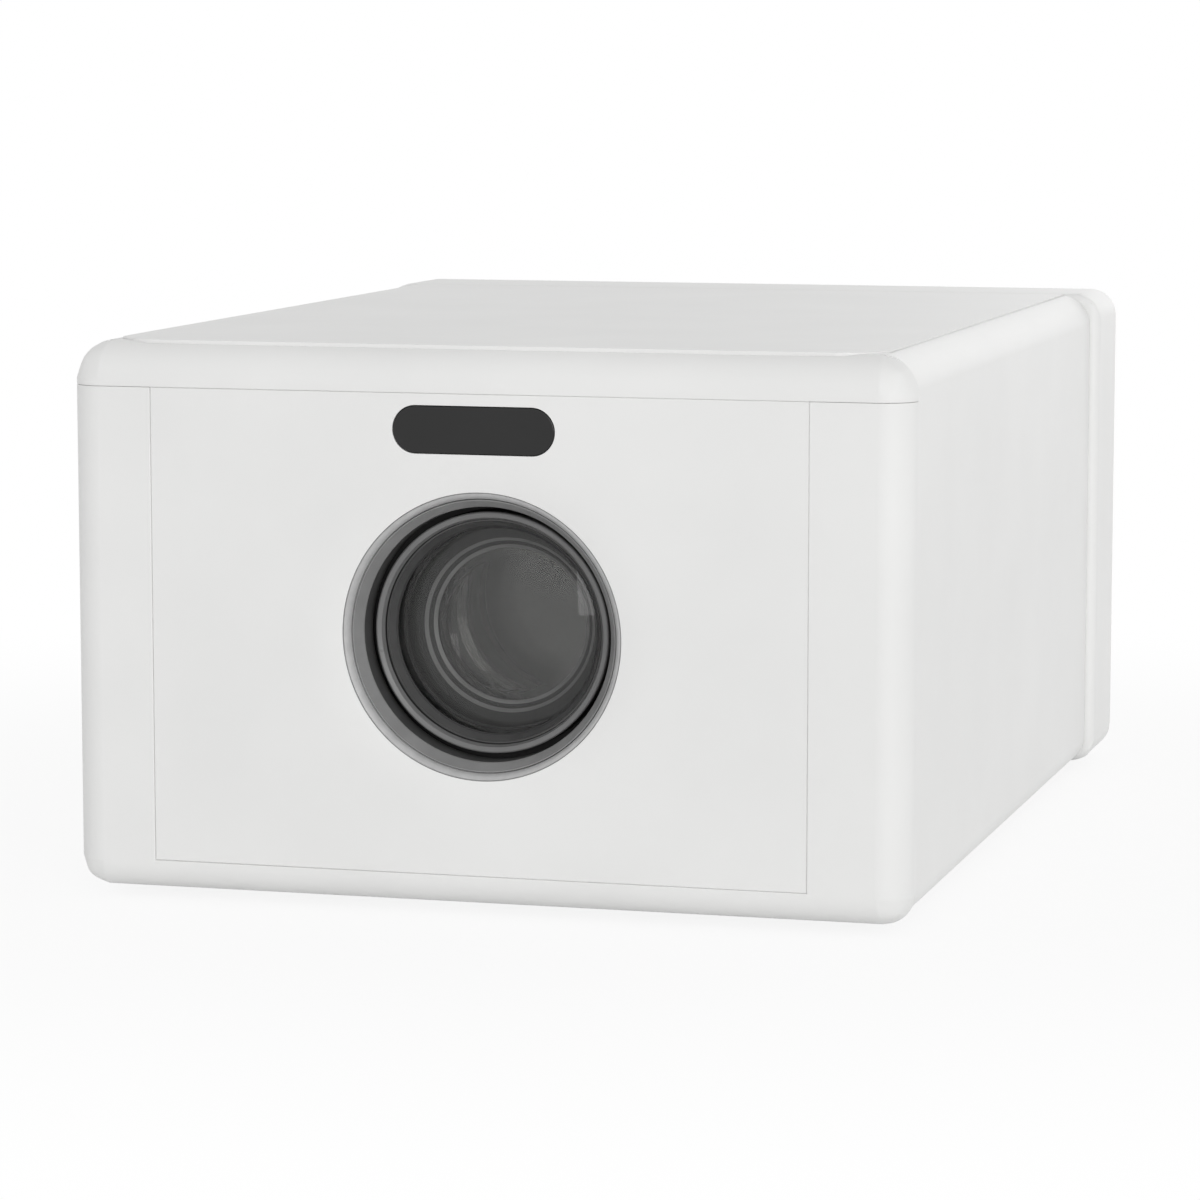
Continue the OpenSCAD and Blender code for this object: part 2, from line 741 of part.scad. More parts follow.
module rear_cover() color("whitesmoke") in_case() difference() {
    union() {
        difference() {
            rear_form();
            along_y(rear_y - 1, rear_in)
                band(rear_half - wall, wall, body_h - wall, rear_r - wall, rear_r - wall);
        }
        // Step between the cover's wall and its lip
        along_y(rear_y, rear_y + 2) difference() {
            band(rear_half - wall + 0.3, wall - 0.3, body_h - wall + 0.3, rear_r - wall, rear_r - wall);
            band(lip_half - lip_t, lip_low + lip_t, lip_top - lip_t, lip_r - 1, lip_top_r - lip_t);
        }
        along_y(rear_y - lip_d, rear_y + 1) lip_ring(lip_top);
        for (side = [-1, 1]) {
            translate([side * end_boss_x, rear_boss_y, 0]) rod_z(boss_r, lip_low, lip_low + boss_h);
            // Shelf for the main board
            translate([side * board_hole_x, 0, 0])
                slab(3.2, board_hole_y[1] - 5, rear_in + 0.2, board_low - 6, board_low);
            // Posts for the key board
            translate([side_x + side * key_post_x, 0, low_row_z])
                rod_y(2.6, key_board_y + board_t, rear_in + 0.2);
            for (z = [-fan_hole, fan_hole]) translate([side * fan_hole, 0, lens_z + z])
                rod_y(boss_r, fan_back + fit, rear_in + 0.2);
        }
    }
    translate([0, 0, lens_z]) rod_y(grille_r + fit, rear_in - 1, body_d + 1);
    at_ports() {
        port_cut(video_size);
        port_cut(data_size);
        rod_y(jack_nose_r + clear, rear_in - 1, body_d + 1);
    }
    translate([-side_x, 0, low_row_z]) along_y(rear_in - 1, body_d + 1)
        square([inlet_w + 2 * clear, inlet_h + 2 * clear], center = true);
    translate([side_x, 0, low_row_z]) rod_y(button_r + run, rear_in - 1, body_d + 1);
    for (side = [-1, 1]) {
        translate([side * side_x, 0, speaker_z]) speaker_slots();
        translate([side * end_boss_x, rear_boss_y, 0]) rod_z(pilot_r, 0, lip_low + boss_h - 1);
        translate([side * board_hole_x, board_hole_y[1], 0]) rod_z(pilot_r, board_low - 5.5, board_low + 1);
        translate([side_x + side * key_post_x, 0, low_row_z]) rod_y(pilot_r, key_board_y, rear_in - 1);
        for (z = [-fan_hole, fan_hole]) translate([side * fan_hole, 0, lens_z + z]) {
            rod_y(pass_r, fan_back, body_d + 1);
            rod_y(head_r + clear, body_d - head_h - fit, body_d + 1);
        }
    }
}

module rear_grille() color("dimgray") on_axis() difference() {
    union() {
        rod_y(grille_r, rear_in - 0.4, body_d - 0.4);
        rod_y(grille_r + grille_lip, rear_in - fit - 1.4, rear_in - fit);
    }
    // Air slots
    pitch = grille_gap + grille_bar;
    rows = floor((grille_r - 3) / pitch);
    intersection() {
        for (row = [-rows:rows])
            slab(body_w, rear_in - 3, body_d + 1,
                row * pitch - grille_gap / 2, row * pitch + grille_gap / 2);
        rod_y(grille_r - 2.6, rear_in - 3, body_d + 1);
    }
}

// Base

module at_feet() for (side = [-1, 1]) for (y = foot_y)
    translate([side * (half_w - foot_in), y, 0]) children();

module at_case_screws() {
    for (side = [-1, 1]) {
        translate([side * end_boss_x, front_boss_y, 0]) children();
        translate([side * end_boss_x, rear_boss_y, 0]) children();
        for (y = side_boss_y) translate([side * side_boss_x, y, 0]) children();
    }
}

module at_ears() for (side = [-1, 1]) for (y = ear_y) translate([side * ear_x, y, 0]) children();

module at_power_posts() for (side = [-1, 1]) for (y = power_post_y)
    translate([side * power_post_x, y, 0]) children();

module base_tray() color("gainsboro") in_case() difference() {
    union() {
        slab(side_seam_x - seam, front_d + seam, rear_y - seam, 0, wall);
        at_ears() rod_z(ear_half - 0.5, wall - 0.2, engine_low - fit);
        at_power_posts() rod_z(boss_r, wall - 0.2, power_low - fit);
        translate([0, tripod_y, 0]) rod_z(tripod_boss_r, wall - 0.2, nut_len - 0.4);
    }
    at_feet() rod_z(foot_r + fit, -1, foot_sink);
    at_case_screws() {
        rod_z(pass_r, -1, wall + 1);
        rod_z(head_r + clear, -1, head_h + fit);
    }
    at_ears() rod_z(pilot_r, wall + 1, engine_low);
    at_power_posts() rod_z(pilot_r, 1, power_low);
    translate([0, tripod_y, 0]) {
        rod_z(nut_r + fit, -1, nut_len + 1);
        rod_z(nut_flange_r + fit, -1, 1.2);
    }
    // Air inlets below the light engine
    for (step = [0:vent_count - 1]) for (side = [-1, 1])
        translate([side * 26, engine_front - 16 + step * vent_pitch, -1])
            linear_extrude(wall + 2) pill(34, vent_w);
}

module rubber_feet() color("#333333") in_case() at_feet() {
    translate([0, 0, -foot_h]) cylinder(r1 = foot_r - 0.8, r2 = foot_r, h = 0.8);
    rod_z(foot_r, 0.8 - foot_h, foot_sink - fit);
}

module tripod_nut() color("goldenrod") in_case() translate([0, tripod_y, 0]) difference() {
    union() {
        rod_z(nut_r, 0.2, nut_len);
        rod_z(nut_flange_r, 0.2, 1.1);
    }
    rod_z(tripod_r, -1, nut_len - 1);
}

// Lens

module lens_holder() color("gray") on_axis() difference() {
    union() {
        rod_y(holder_r, holder_front, flange_y + flange_t);
        rod_y(holder_r + 2.6, shoulder_y, shoulder_y + 3);
        slab(flange_w / 2, flange_y, flange_y + flange_t, -flange_h / 2, flange_h / 2);
        // Gussets between tube and flange
        for (turn = [45:90:315]) rotate([0, turn, 0])
            box(-1, 1, shoulder_y + 2, flange_y + 0.5, 0, holder_r + 5);
    }
    rod_y(bore_r, holder_front - 1, flange_y + flange_t + 1);
    // Lead-in chamfer
    spun_y([[0, holder_front - 1], [bore_r + 1.5, holder_front - 1], [bore_r, holder_front + 0.5],
        [0, holder_front + 0.5]]);
    tube_y(holder_r + 1, holder_r - clip_depth, clip_y - fit, clip_y + clip_t + fit);
    // Straight guides for the cam pins
    for (turn = [90:120:330]) rotate([0, -turn, 0]) {
        for (y = [-focus_travel, focus_travel]) translate([0, pin_y + y, 0])
            rotate([0, 90, 0]) cylinder(r = slot_r, h = holder_r + 5);
        box(0, holder_r + 5, pin_y - focus_travel, pin_y + focus_travel, -slot_r, slot_r);
    }
    for (x = [-flange_hole_x, flange_hole_x]) for (z = [-flange_hole_z, flange_hole_z])
        translate([x, 0, z]) rod_y(pass_r, flange_y - 1, flange_y + flange_t + 1);
}

module lens_barrel() color("#505050") on_axis() difference() {
    union() {
        rod_y(barrel_r, barrel_front + 0.5, barrel_back);
        rod_y(bead_r, barrel_front, barrel_front + bead_d);
    }
    rod_y(chamber_r, barrel_front - 1, seat_y);
    // The rim's face slopes inwards
    spun_y([[0, barrel_front - 1], [bead_r - 0.3, barrel_front - 1], [bead_r - 0.3, barrel_front],
        [chamber_r, barrel_front + 1], [0, barrel_front + 1]]);
    rod_y(inner_r, barrel_front, barrel_back + 1);
    for (turn = [90:120:330]) rotate([0, -turn, 0]) translate([0, pin_y, 0])
        rotate([0, 90, 0]) cylinder(r = pin_r + run / 2, h = barrel_r + 1);
}

module cam_pins() color("silver") on_axis() for (turn = [90:120:330]) rotate([0, -turn, 0])
    translate([inner_r + fit, pin_y, 0]) rotate([0, 90, 0])
        cylinder(r = pin_r, h = pin_tip - inner_r - fit);

module front_lens() color([0.6, 0.65, 0.7, 0.4]) on_axis() intersection() {
    rod_y(front_glass_r, 0, front_glass_y + front_glass_t);
    crown = sqrt(glass_curve * glass_curve - front_glass_r * front_glass_r);
    translate([0, front_glass_y + crown, 0]) sphere(r = glass_curve, $fn = 128);
}

// Place of the front lens's face at radius r
function glass_face(r) = front_glass_y + sqrt(glass_curve * glass_curve - front_glass_r * front_glass_r)
    - sqrt(glass_curve * glass_curve - r * r);

// Ring in front of the lens: a cone that steepens towards the glass
module front_retainer() color("#303030") on_axis() spun_y([
    [front_glass_r - 0.3, barrel_front + 1], [front_glass_r, barrel_front + 1],
    [front_glass_r, glass_face(front_glass_r) - 0.2], [glass_r, glass_face(glass_r) - 0.16],
    [glass_r, glass_face(glass_r) - 0.4], [glass_r + 1.3, glass_face(glass_r) - 1.5]]);

module lens_spacers() color("#303030") on_axis() {
    // Stop ring behind the front lens
    spun_y([[stop_r, seat_y + 1], [stop_r + 1.2, seat_y + fit], [small_r, seat_y + fit],
        [small_r, seat_y + stop_t], [stop_r + 1.2, seat_y + stop_t], [stop_r, seat_y + stop_t - 1]]);
    tube_y(small_r, small_r - 2, middle_y + middle_t + fit, rear_lens_y - fit);
}

module middle_lens() color([0.6, 0.65, 0.7, 0.4]) on_axis() difference() {
    rod_y(small_r, middle_y, middle_y + middle_t);
    // Hollow front face, cut no wider than the stop
    depth = middle_curve - sqrt(middle_curve * middle_curve - stop_r * stop_r);
    sunk = min(depth, middle_t / 2 - 0.6);
    translate([0, middle_y + sunk - middle_curve, 0]) sphere(r = middle_curve, $fn = 128);
}

module rear_lens() color([0.6, 0.65, 0.7, 0.4]) on_axis() intersection() {
    rod_y(small_r, rear_lens_y, rear_lens_y + rear_lens_t);
    crown = sqrt(rear_lens_curve * rear_lens_curve - small_r * small_r);
    translate([0, rear_lens_y + crown + 1.2, 0]) sphere(r = rear_lens_curve, $fn = 128);
    translate([0, rear_lens_y + rear_lens_t - crown - 1.2, 0]) sphere(r = rear_lens_curve, $fn = 128);
}

module rear_retainer() color("#303030") on_axis()
    tube_y(small_r, small_r - 2.4, retainer_y, barrel_back - 0.4);

// Gears and cam ring

// Angle, in degrees, by which an involute has turned at radius r
function involute_turn(r, base_r) = let(a = acos(min(1, base_r / r))) tan(a) * 180 / PI - a;

// Half the angle that a tooth covers at radius r
function tooth_half(r, pitch_r, teeth) = let(base_r = pitch_r * cos(pressure))
    90 / teeth - backlash / 2 / pitch_r * 180 / PI
    + involute_turn(pitch_r, base_r) - involute_turn(max(r, base_r), base_r);

// Outline of one tooth on the x axis, from below the root to the tip
module gear_tooth(teeth) {
    pitch_r = teeth * gear_m / 2;
    low = pitch_r - 1.25 * gear_m - 0.3;
    high = pitch_r + 0.95 * gear_m;
    steps = 4;
    radii = [for (k = [0:steps]) low + (high - low) * k / steps];
    flank = [for (r = radii) let(a = tooth_half(r, pitch_r, teeth)) [r * cos(a), r * sin(a)]];
    polygon(concat([for (p = flank) [p[0], -p[1]]], [for (k = [steps:-1:0]) flank[k]]));
}

// Helical slot cutter: rings of four points along the slot, from inside the sleeve to outside
module helix_slot() {
    steps = 12;
    over = 2 + 180 / PI * slot_r / cam_bore_r;
    turns = [for (k = [0:steps]) (focus_turn + over) * (2 * k / steps - 1)];
    points = [for (a = turns) for (corner = [[-1, -1], [1, -1], [1, 1], [-1, 1]])
        let(r = corner[0] < 0 ? cam_bore_r - 1 : cam_r + 1)
        [r * cos(a), pin_y + focus_travel * a / focus_turn + corner[1] * (slot_r + 0.05), r * sin(a)]];
    sides = [for (k = [0:steps - 1]) for (j = [0:3]) for (half = [0, 1])
        let(a = 4 * k + j, b = 4 * k + (j + 1) % 4)
        half == 0 ? [a, b + 4, b] : [a, a + 4, b + 4]];
    last = 4 * steps;
    ends = [[0, 1, 2], [0, 2, 3], [last, last + 2, last + 1], [last, last + 3, last + 2]];
    polyhedron(points, concat(sides, ends));
}

module focus_ring() color("#404040") on_axis() difference() {
    union() {
        rod_y(cam_r, cam_front, cam_back);
        rod_y(ring_pitch_r - 1.25 * gear_m, gear_front, gear_back);
        // Toothed sector, with a gap at the pinion
        pitch_turn = 360 / ring_teeth;
        count = ceil(sector / pitch_turn / 2);
        along_y(gear_front, gear_back) for (k = [-count:count - 1])
            rotate(pinion_dir + (k + 0.5) * pitch_turn) gear_tooth(ring_teeth);
    }
    rod_y(cam_bore_r, cam_front - 1, cam_back + 1);
    for (turn = [90:120:330]) rotate([0, -turn, 0]) helix_slot();
}

module ring_clip() color("silver") on_axis() difference() {
    tube_y(holder_r + 1.6, holder_r - clip_depth + fit, clip_y, clip_y + clip_t);
    box(-5, 5, clip_y - 1, clip_y + clip_t + 1, 0, holder_r + 5);
}

module at_pinion() on_axis() translate([pinion_x, 0, pinion_z]) rotate([0, -pinion_dir, 0]) children();

module focus_motor() color("silver") at_pinion() difference() {
    union() {
        slab(motor_h / 2, box_back - box_d, box_back, -motor_w / 2, motor_w / 2);
        intersection() {
            rod_y(motor_w / 2, box_back - box_d - can_d, box_back - box_d + 0.2);
            slab(motor_h / 2, 0, box_back, -motor_w, motor_w);
        }
        rod_y(motor_nose_r, box_back - 0.2, box_back + motor_nose_d);
    }
    rod_y(shaft_r + run, box_back - box_d + 2, box_back + 2);
}

module motor_shaft() color("gainsboro") at_pinion()
    rod_y(shaft_r, box_back - box_d + 2.4, gear_back + 0.8);

module focus_pinion() color("ivory") at_pinion() difference() {
    along_y(gear_front - 0.3, gear_back + 0.3) {
        circle(pinion_pitch_r - 1.25 * gear_m);
        for (k = [0:pinion_teeth - 1]) rotate(180 + k * 360 / pinion_teeth) gear_tooth(pinion_teeth);
    }
    rod_y(shaft_r + run / 2, gear_front - 1, gear_back + 1);
}

module motor_bracket() color("silver") on_axis() difference() {
    union() {
        box(pinion_x - 11, flange_w / 2, bracket_y, bracket_y + bracket_t, bracket_low, bracket_high);
        box(bracket_leg_x, flange_w / 2, bracket_y, flange_y - fit, bracket_low, bracket_high);
        box(flange_hole_x - 4.5, flange_w / 2, flange_y - fit - bracket_foot_t, flange_y - fit,
            bracket_low, bracket_high);
    }
    rod_y(cam_r + clear, 0, bracket_y + 5);
    translate([pinion_x, 0, pinion_z]) rod_y(motor_nose_r + fit, 0, bracket_y + 5);
    translate([flange_hole_x, 0, -flange_hole_z]) rod_y(pass_r, flange_y - 5, flange_y + 1);
}

// Light engine

// Solid of the case or its hollow: box, taper and lamp block, as two crossed outlines
module engine_solid(inset, front, back) intersection() {
    w = engine_half_w - inset;
    h = engine_half_h - inset;
    e = lamp_half - inset * 3;
    along_x(-engine_w, engine_w)
        polygon([[front, -h], [engine_back, -h], [funnel_back, -e], [back, -e],
            [back, e], [funnel_back, e], [engine_back, h], [front, h]]);
    translate([0, 0, -engine_h]) linear_extrude(2 * engine_h)
        polygon([[-w, front], [w, front], [w, engine_back], [e, funnel_back],
            [e, back], [-e, back], [-e, funnel_back], [-w, engine_back]]);
}

// Groove that holds a plate of thickness t by its edges
module plate_groove(y, t) slab(engine_half_w - engine_t + groove_d, y - groove_gap, y + t + groove_gap,
    engine_t - groove_d - engine_half_h, engine_half_h - engine_t + groove_d);

module engine_plate(y, t) {
    w = engine_half_w - engine_t + groove_d - groove_gap;
    h = engine_half_h - engine_t + groove_d - groove_gap;
    slab(w, y, y + t, -h, h);
}

module engine_shell() difference() {
    engine_solid(0, engine_front, lamp_back);
    engine_solid(engine_t, engine_front + 3, funnel_back + 0.5);
    rod_y(exit_r, engine_front - 1, engine_front + 4);
    rod_y(condenser_r + fit, funnel_back - 2, condenser_y + condenser_t + fit);
    rod_y(lamp_hole_r, funnel_back, lamp_back + 1);
    plate_groove(front_fresnel_y, fresnel_t);
    plate_groove(lcd_y, lcd_t);
    plate_groove(heat_glass_y, heat_glass_t);
    plate_groove(rear_fresnel_y, fresnel_t);
    for (x = [-flange_hole_x, flange_hole_x]) for (z = [-flange_hole_z, flange_hole_z])
        translate([x, 0, z]) rod_y(pilot_r, engine_front - 1, engine_front + 4);
    for (x = [-sink_screw_x, sink_screw_x]) for (z = [-sink_screw_z, sink_screw_z])
        translate([x, 0, z]) rod_y(pilot_r, lamp_back - 6, lamp_back + 1);
}

module engine_lower() color("#2b2b2b") on_axis() difference() {
    union() {
        intersection() {
            engine_shell();
            slab(body_w, 0, body_d, -engine_h, -fit / 2);
        }
        translate([0, 0, -lens_z]) for (side = [-1, 1]) for (y = ear_y)
            box(side * ear_x - ear_half - 0.4, side * ear_x + ear_half + 0.4, y - ear_half, y + ear_half,
                engine_low, engine_low + ear_t);
    }
    engine_solid(engine_t, engine_front + 3, funnel_back + 0.5);
    translate([0, 0, -lens_z]) at_ears() rod_z(pass_r, engine_low - 1, engine_low + ear_t + 1);
}

module engine_upper() color("#2b2b2b") on_axis() difference() {
    union() {
        intersection() {
            engine_shell();
            slab(body_w, 0, body_d, fit / 2, engine_h);
        }
        for (side = [-1, 1]) translate([side * board_hole_x, board_hole_y[0], 0])
            rod_z(boss_r, engine_half_h - 0.2, engine_half_h + 2.5);
    }
    for (side = [-1, 1]) translate([side * board_hole_x, board_hole_y[0], 0])
        rod_z(pilot_r, engine_half_h - engine_t + 0.4, engine_half_h + 5);
    // Slot for the flex of the panel
    slab(flex_w / 2 + 1, lcd_y - 0.5, lcd_y + 4, engine_half_h - engine_t - 1, engine_half_h + 1);
}

module front_fresnel() color([0.75, 0.8, 0.85, 0.4]) on_axis() engine_plate(front_fresnel_y, fresnel_t);

module lcd_panel() color("#202838") on_axis() difference() {
    engine_plate(lcd_y, lcd_t);
    // Recess of the picture area
    slab(engine_half_w - 10, lcd_y - 1, lcd_y + 0.5, 9 - engine_half_h, engine_half_h - 9);
}

module lcd_flex() color("peru") on_axis() {
    bend = 2;
    low = engine_half_h - engine_t + groove_d - groove_gap;
    high = engine_half_h + 1.6;
    back = lcd_y + 1 + flex_t;
    translate([-flex_w / 2, 0, 0]) along_x(0, flex_w) {
        translate([lcd_y + 1, low]) square([flex_t, high - bend - low]);
        translate([back + bend - flex_t, high - flex_t]) square([16, flex_t]);
        intersection() {
            translate([back + bend - flex_t, high - bend]) difference() {
                circle(bend);
                circle(bend - flex_t);
            }
            translate([lcd_y + 1, high - bend]) square([bend, bend]);
        }
    }
    // Connector below the main board
    box(-flex_w / 2 - 2, flex_w / 2 + 2, back + 17, back + 22, high - flex_t - 0.6, engine_half_h + 2.6);
}

module heat_glass() color([0.7, 0.8, 0.8, 0.4]) on_axis() engine_plate(heat_glass_y, heat_glass_t);

module rear_fresnel() color([0.75, 0.8, 0.85, 0.4]) on_axis() engine_plate(rear_fresnel_y, fresnel_t);

module condenser_lens() color([0.7, 0.75, 0.8, 0.4]) on_axis() intersection() {
    rod_y(condenser_r, condenser_y, condenser_y + condenser_t);
    translate([0, condenser_y + condenser_curve, 0]) sphere(r = condenser_curve, $fn = 128);
}

module led_board() color("white") on_axis()
    slab(led_board_w / 2, lamp_back, lamp_back + led_board_t, -led_board_w / 2, led_board_w / 2);

module led_emitter() color("khaki") on_axis() {
    slab(led_w / 2, lamp_back - 0.6, lamp_back, -led_w / 2, led_w / 2);
    rod_y(led_w / 2 - 1, lamp_back - led_t, lamp_back - 0.5);
}

module heat_sink() color("silver") on_axis() difference() {
    union() {
        slab(lamp_half, sink_front, sink_front + sink_t, -lamp_half, lamp_half);
        for (k = [0:fin_count - 1]) translate([(k - (fin_count - 1) / 2) * fin_pitch, 0, 0])
            slab(fin_t / 2, sink_front + sink_t - 0.2, sink_front + sink_t + fin_d, -lamp_half, lamp_half);
    }
    for (x = [-sink_screw_x, sink_screw_x]) for (z = [-sink_screw_z, sink_screw_z])
        translate([x, 0, z]) rod_y(pass_r, sink_front - 1, sink_front + sink_t + 1);
}

// Fan

module at_fan_holes() for (x = [-fan_hole, fan_hole]) for (z = [-fan_hole, fan_hole])
    translate([x, 0, z]) children();

module fan_frame() color("#303030") on_axis() difference() {
    union() {
        difference() {
            along_y(fan_front, fan_back) band(fan_w / 2, -fan_w / 2, fan_w / 2, 4, 4);
            rod_y(fan_bore_r, fan_front - 1, fan_back + 1);
        }
        // Motor base on four struts
        rod_y(hub_r - 1, fan_back - 2, fan_back);
        for (turn = [45:90:315]) rotate([0, turn, 0])
            box(-1.5, 1.5, fan_back - 2, fan_back, hub_r - 2, fan_bore_r + 1);
        rod_y(3.5, fan_front + 4.2, fan_back - 1);
        rod_y(hub_r - 4, fan_front + 5, fan_back - 5.5);
    }
    rod_y(fan_shaft_r + run, fan_front, fan_back - 1);
    at_fan_holes() rod_y(pilot_r, fan_front - 1, fan_back + 1);
}

// One cambered blade along +x
module fan_blade() {
    curve = fan_t;
    intersection() {
        translate([0, fan_front + 1 + fan_t * 0.1, -curve * 0.85]) rotate([0, 90, 0])
            difference() {
                cylinder(r = curve + 0.6, h = rotor_r + 2);
                translate([0, 0, -1]) cylinder(r = curve - 0.6, h = rotor_r + 4);
            }
        box(hub_r - 0.5, rotor_r + 2, fan_front + 1, fan_back - 3.4, -curve, curve);
        rod_y(rotor_r, fan_front, fan_back);
    }
}

module fan_rotor() color("#3a3a3a") on_axis() {
    difference() {
        rod_y(hub_r, fan_front + 0.6, fan_back - 3.2);
        rod_y(hub_r - hub_t, fan_front + 0.6 + hub_t, fan_back);
    }
    rod_y(fan_shaft_r, fan_front + 1, fan_back - 1.6);
    for (k = [0:blade_count - 1]) rotate([0, k * 360 / blade_count, 0]) fan_blade();
}

// Main board and sockets

module main_board() color("darkgreen") in_case() difference() {
    union() {
        slab(board_half, board_front, board_back, board_low, board_top);
        // Processor with its cooler, memory, capacitors and a shielded radio module
        chip_y = board_front + 0.3 * (board_back - board_front);
        rear_parts_y = board_front + 0.64 * (board_back - board_front);
        box(-14, 14, chip_y, chip_y + 28, board_top - 0.1, board_top + 2.2);
        for (k = [0:6]) translate([k * 4.4 - 14, 0, 0])
            box(0, 1.6, chip_y, chip_y + 28, board_top + 2, board_top + 6);
        for (x = [22, 34]) box(x, x + 9, chip_y + 4, chip_y + 17, board_top - 0.1, board_top + 1.1);
        for (x = [-42, -32, -22]) translate([x, rear_parts_y + 12, 0])
            rod_z(3.2, board_top - 0.1, board_top + 6.2);
        box(24, 42, rear_parts_y, rear_parts_y + 14, board_top - 0.1, board_top + 2.4);
    }
    for (side = [-1, 1]) for (y = board_hole_y)
        translate([side * board_hole_x, y, 0]) rod_z(pass_r, board_low - 1, board_top + 1);
}

// Open metal shell on the board, with its mouth at the rear face; draw is cut off its lower corners
module socket_outline(size, inset, draw) {
    w = size[0] / 2 - inset;
    h = size[2] / 2 - inset;
    polygon([[draw - w, -h], [w - draw, -h], [w, draw - h], [w, h], [-w, h], [-w, draw - h]]);
}

module socket_shell(size, t, draw) difference() {
    along_y(socket_face - size[1], socket_face) socket_outline(size, 0, draw);
    along_y(socket_face - size[1] + 2, socket_face + 1) socket_outline(size, t, draw);
}

module video_socket() color("silver") in_case() translate([video_x, 0, board_top + video_size[2] / 2]) {
    socket_shell(video_size, 0.6, 1.6);
    slab(5.2, socket_face - video_size[1] + 1, socket_face - 1.6, -0.2, 0.8);
}

module data_sockets() color("silver") in_case() for (x = data_x)
    translate([x, 0, board_top + data_size[2] / 2]) {
        socket_shell(data_size, 0.4, 0.3);
        slab(5.6, socket_face - data_size[1] + 1, socket_face - 1, 0.4, 2.3);
    }

module audio_jack() color("#252525") in_case() translate([jack_x, 0, board_top + jack_size[2] / 2])
    difference() {
        union() {
            slab(jack_size[0] / 2, socket_face - jack_len - 0.6, rear_in - fit,
                -jack_size[2] / 2, jack_size[2] / 2);
            rod_y(jack_nose_r, rear_in - 1, socket_face);
        }
        rod_y(jack_r, socket_face - jack_len, socket_face + 1);
    }

// Power supply

module power_board() color("darkgreen") in_case() {
    difference() {
        slab(power_half, power_y[0], power_y[1], power_low, power_low + board_t);
        at_power_posts() rod_z(pass_r, power_low - 1, power_low + board_t + 1);
    }
    // Transformer, main capacitors, choke and rectifier
    top = power_low + board_t;
    mid = (power_y[0] + power_y[1]) / 2;
    can_r = power_room * 0.45;
    box(-12, 14, mid - 4, mid + 22, top - 0.1, top + power_room * 0.85);
    for (y = [mid - 6, mid + 10]) translate([-28, y, top + can_r - 0.3])
        rotate([0, 90, 0]) cylinder(r = can_r, h = 13, center = true);
    translate([30, mid + 8, 0]) rod_z(8, top - 0.1, top + power_room * 0.7);
    box(22, 40, mid - 10, mid - 7, top - 0.1, top + power_room * 0.55);
}

module mains_inlet() color("#202020") in_case() translate([-side_x, 0, low_row_z]) {
    face = body_d - 0.4;
    difference() {
        union() {
            slab(inlet_w / 2, face - inlet_d, face, -inlet_h / 2, inlet_h / 2);
            slab(inlet_w / 2 + inlet_lip, rear_in - fit - 2, rear_in - fit,
                -inlet_h / 2 - inlet_lip, inlet_h / 2 + inlet_lip);
        }
        along_y(face - inlet_d + 2.5, face + 1) pill(inlet_recess_w, inlet_recess_h);
    }
    for (side = [-1, 1]) translate([side * inlet_pin_x, 0, 0])
        rod_y(inlet_pin_r, face - inlet_d + 2, face - 3);
}

// Power button

module power_button() color("whitesmoke") in_case() translate([side_x, 0, low_row_z]) {
    rod_y(button_r, button_back, button_face);
    rod_y(button_r + button_lip, button_back, button_back + button_lip_t);
    rod_y(2, plunger_y + 0.9, button_back + 0.5);
}

module key_board() color("darkgreen") in_case() translate([side_x, 0, low_row_z]) difference() {
    union() {
        slab(key_post_x + 3.5, key_board_y, key_board_y + board_t - fit, -6, 6);
        slab(switch_w / 2, key_board_y + 1, key_board_y + board_t + switch_t, -switch_w / 2, switch_w / 2);
    }
    rod_y(plunger_r + run, plunger_y - 1.8, plunger_y + 1);
    for (side = [-1, 1]) translate([side * key_post_x, 0, 0])
        rod_y(pass_r, key_board_y - 1, key_board_y + 3);
}

module switch_plunger() color("#202020") in_case() translate([side_x, 0, low_row_z])
    rod_y(plunger_r, plunger_y - 1.1, plunger_y + 0.9);

// Speakers

module at_speakers() in_case() for (side = [-1, 1]) translate([side * side_x, 0, speaker_z]) children();

module speaker_frames() color("#2a2a2a") at_speakers() {
    face = rear_in - fit;
    difference() {
        union() {
            rod_y(speaker_r, face - 2, face);
            spun_y([[8, face - speaker_d + 6], [10, face - speaker_d + 6], [speaker_r - 0.5, face - 2.2],
                [speaker_r - 0.5, face - 1], [speaker_r - 2.5, face - 1], [8, face - speaker_d + 8]]);
        }
        rod_y(speaker_r - 3, face - 2.5, face + 1);
        // Windows in the basket
        for (turn = [0:90:270]) rotate([0, turn, 0]) slab(4, face - speaker_d + 8, face - 3, 10, speaker_r);
    }
    rod_y(speaker_r * 0.6, face - speaker_d, face - speaker_d + 6.2);
}

module speaker_cones() color("#1c1c1c") at_speakers() {
    face = rear_in - fit;
    rim = speaker_r - 3 - fit;
    spun_y([[5, face - 6.2], [rim - 2, face - 1.6], [rim, face - 1.6], [rim, face - 0.9],
        [rim - 2.2, face - 0.9], [5, face - 5.4]]);
    // Dust cap and voice coil
    intersection() {
        translate([0, face - 12.4, 0]) sphere(r = 8.4);
        rod_y(5.2, face - 6.2, face);
    }
    tube_y(5, 4.2, face - speaker_d + 6.4, face - 5.6);
}

// Fasteners

module case_screws() color("silver") in_case() at_case_screws()
    translate([0, 0, head_h + fit / 2]) mirror([0, 0, 1]) screw(screw_len - head_h);

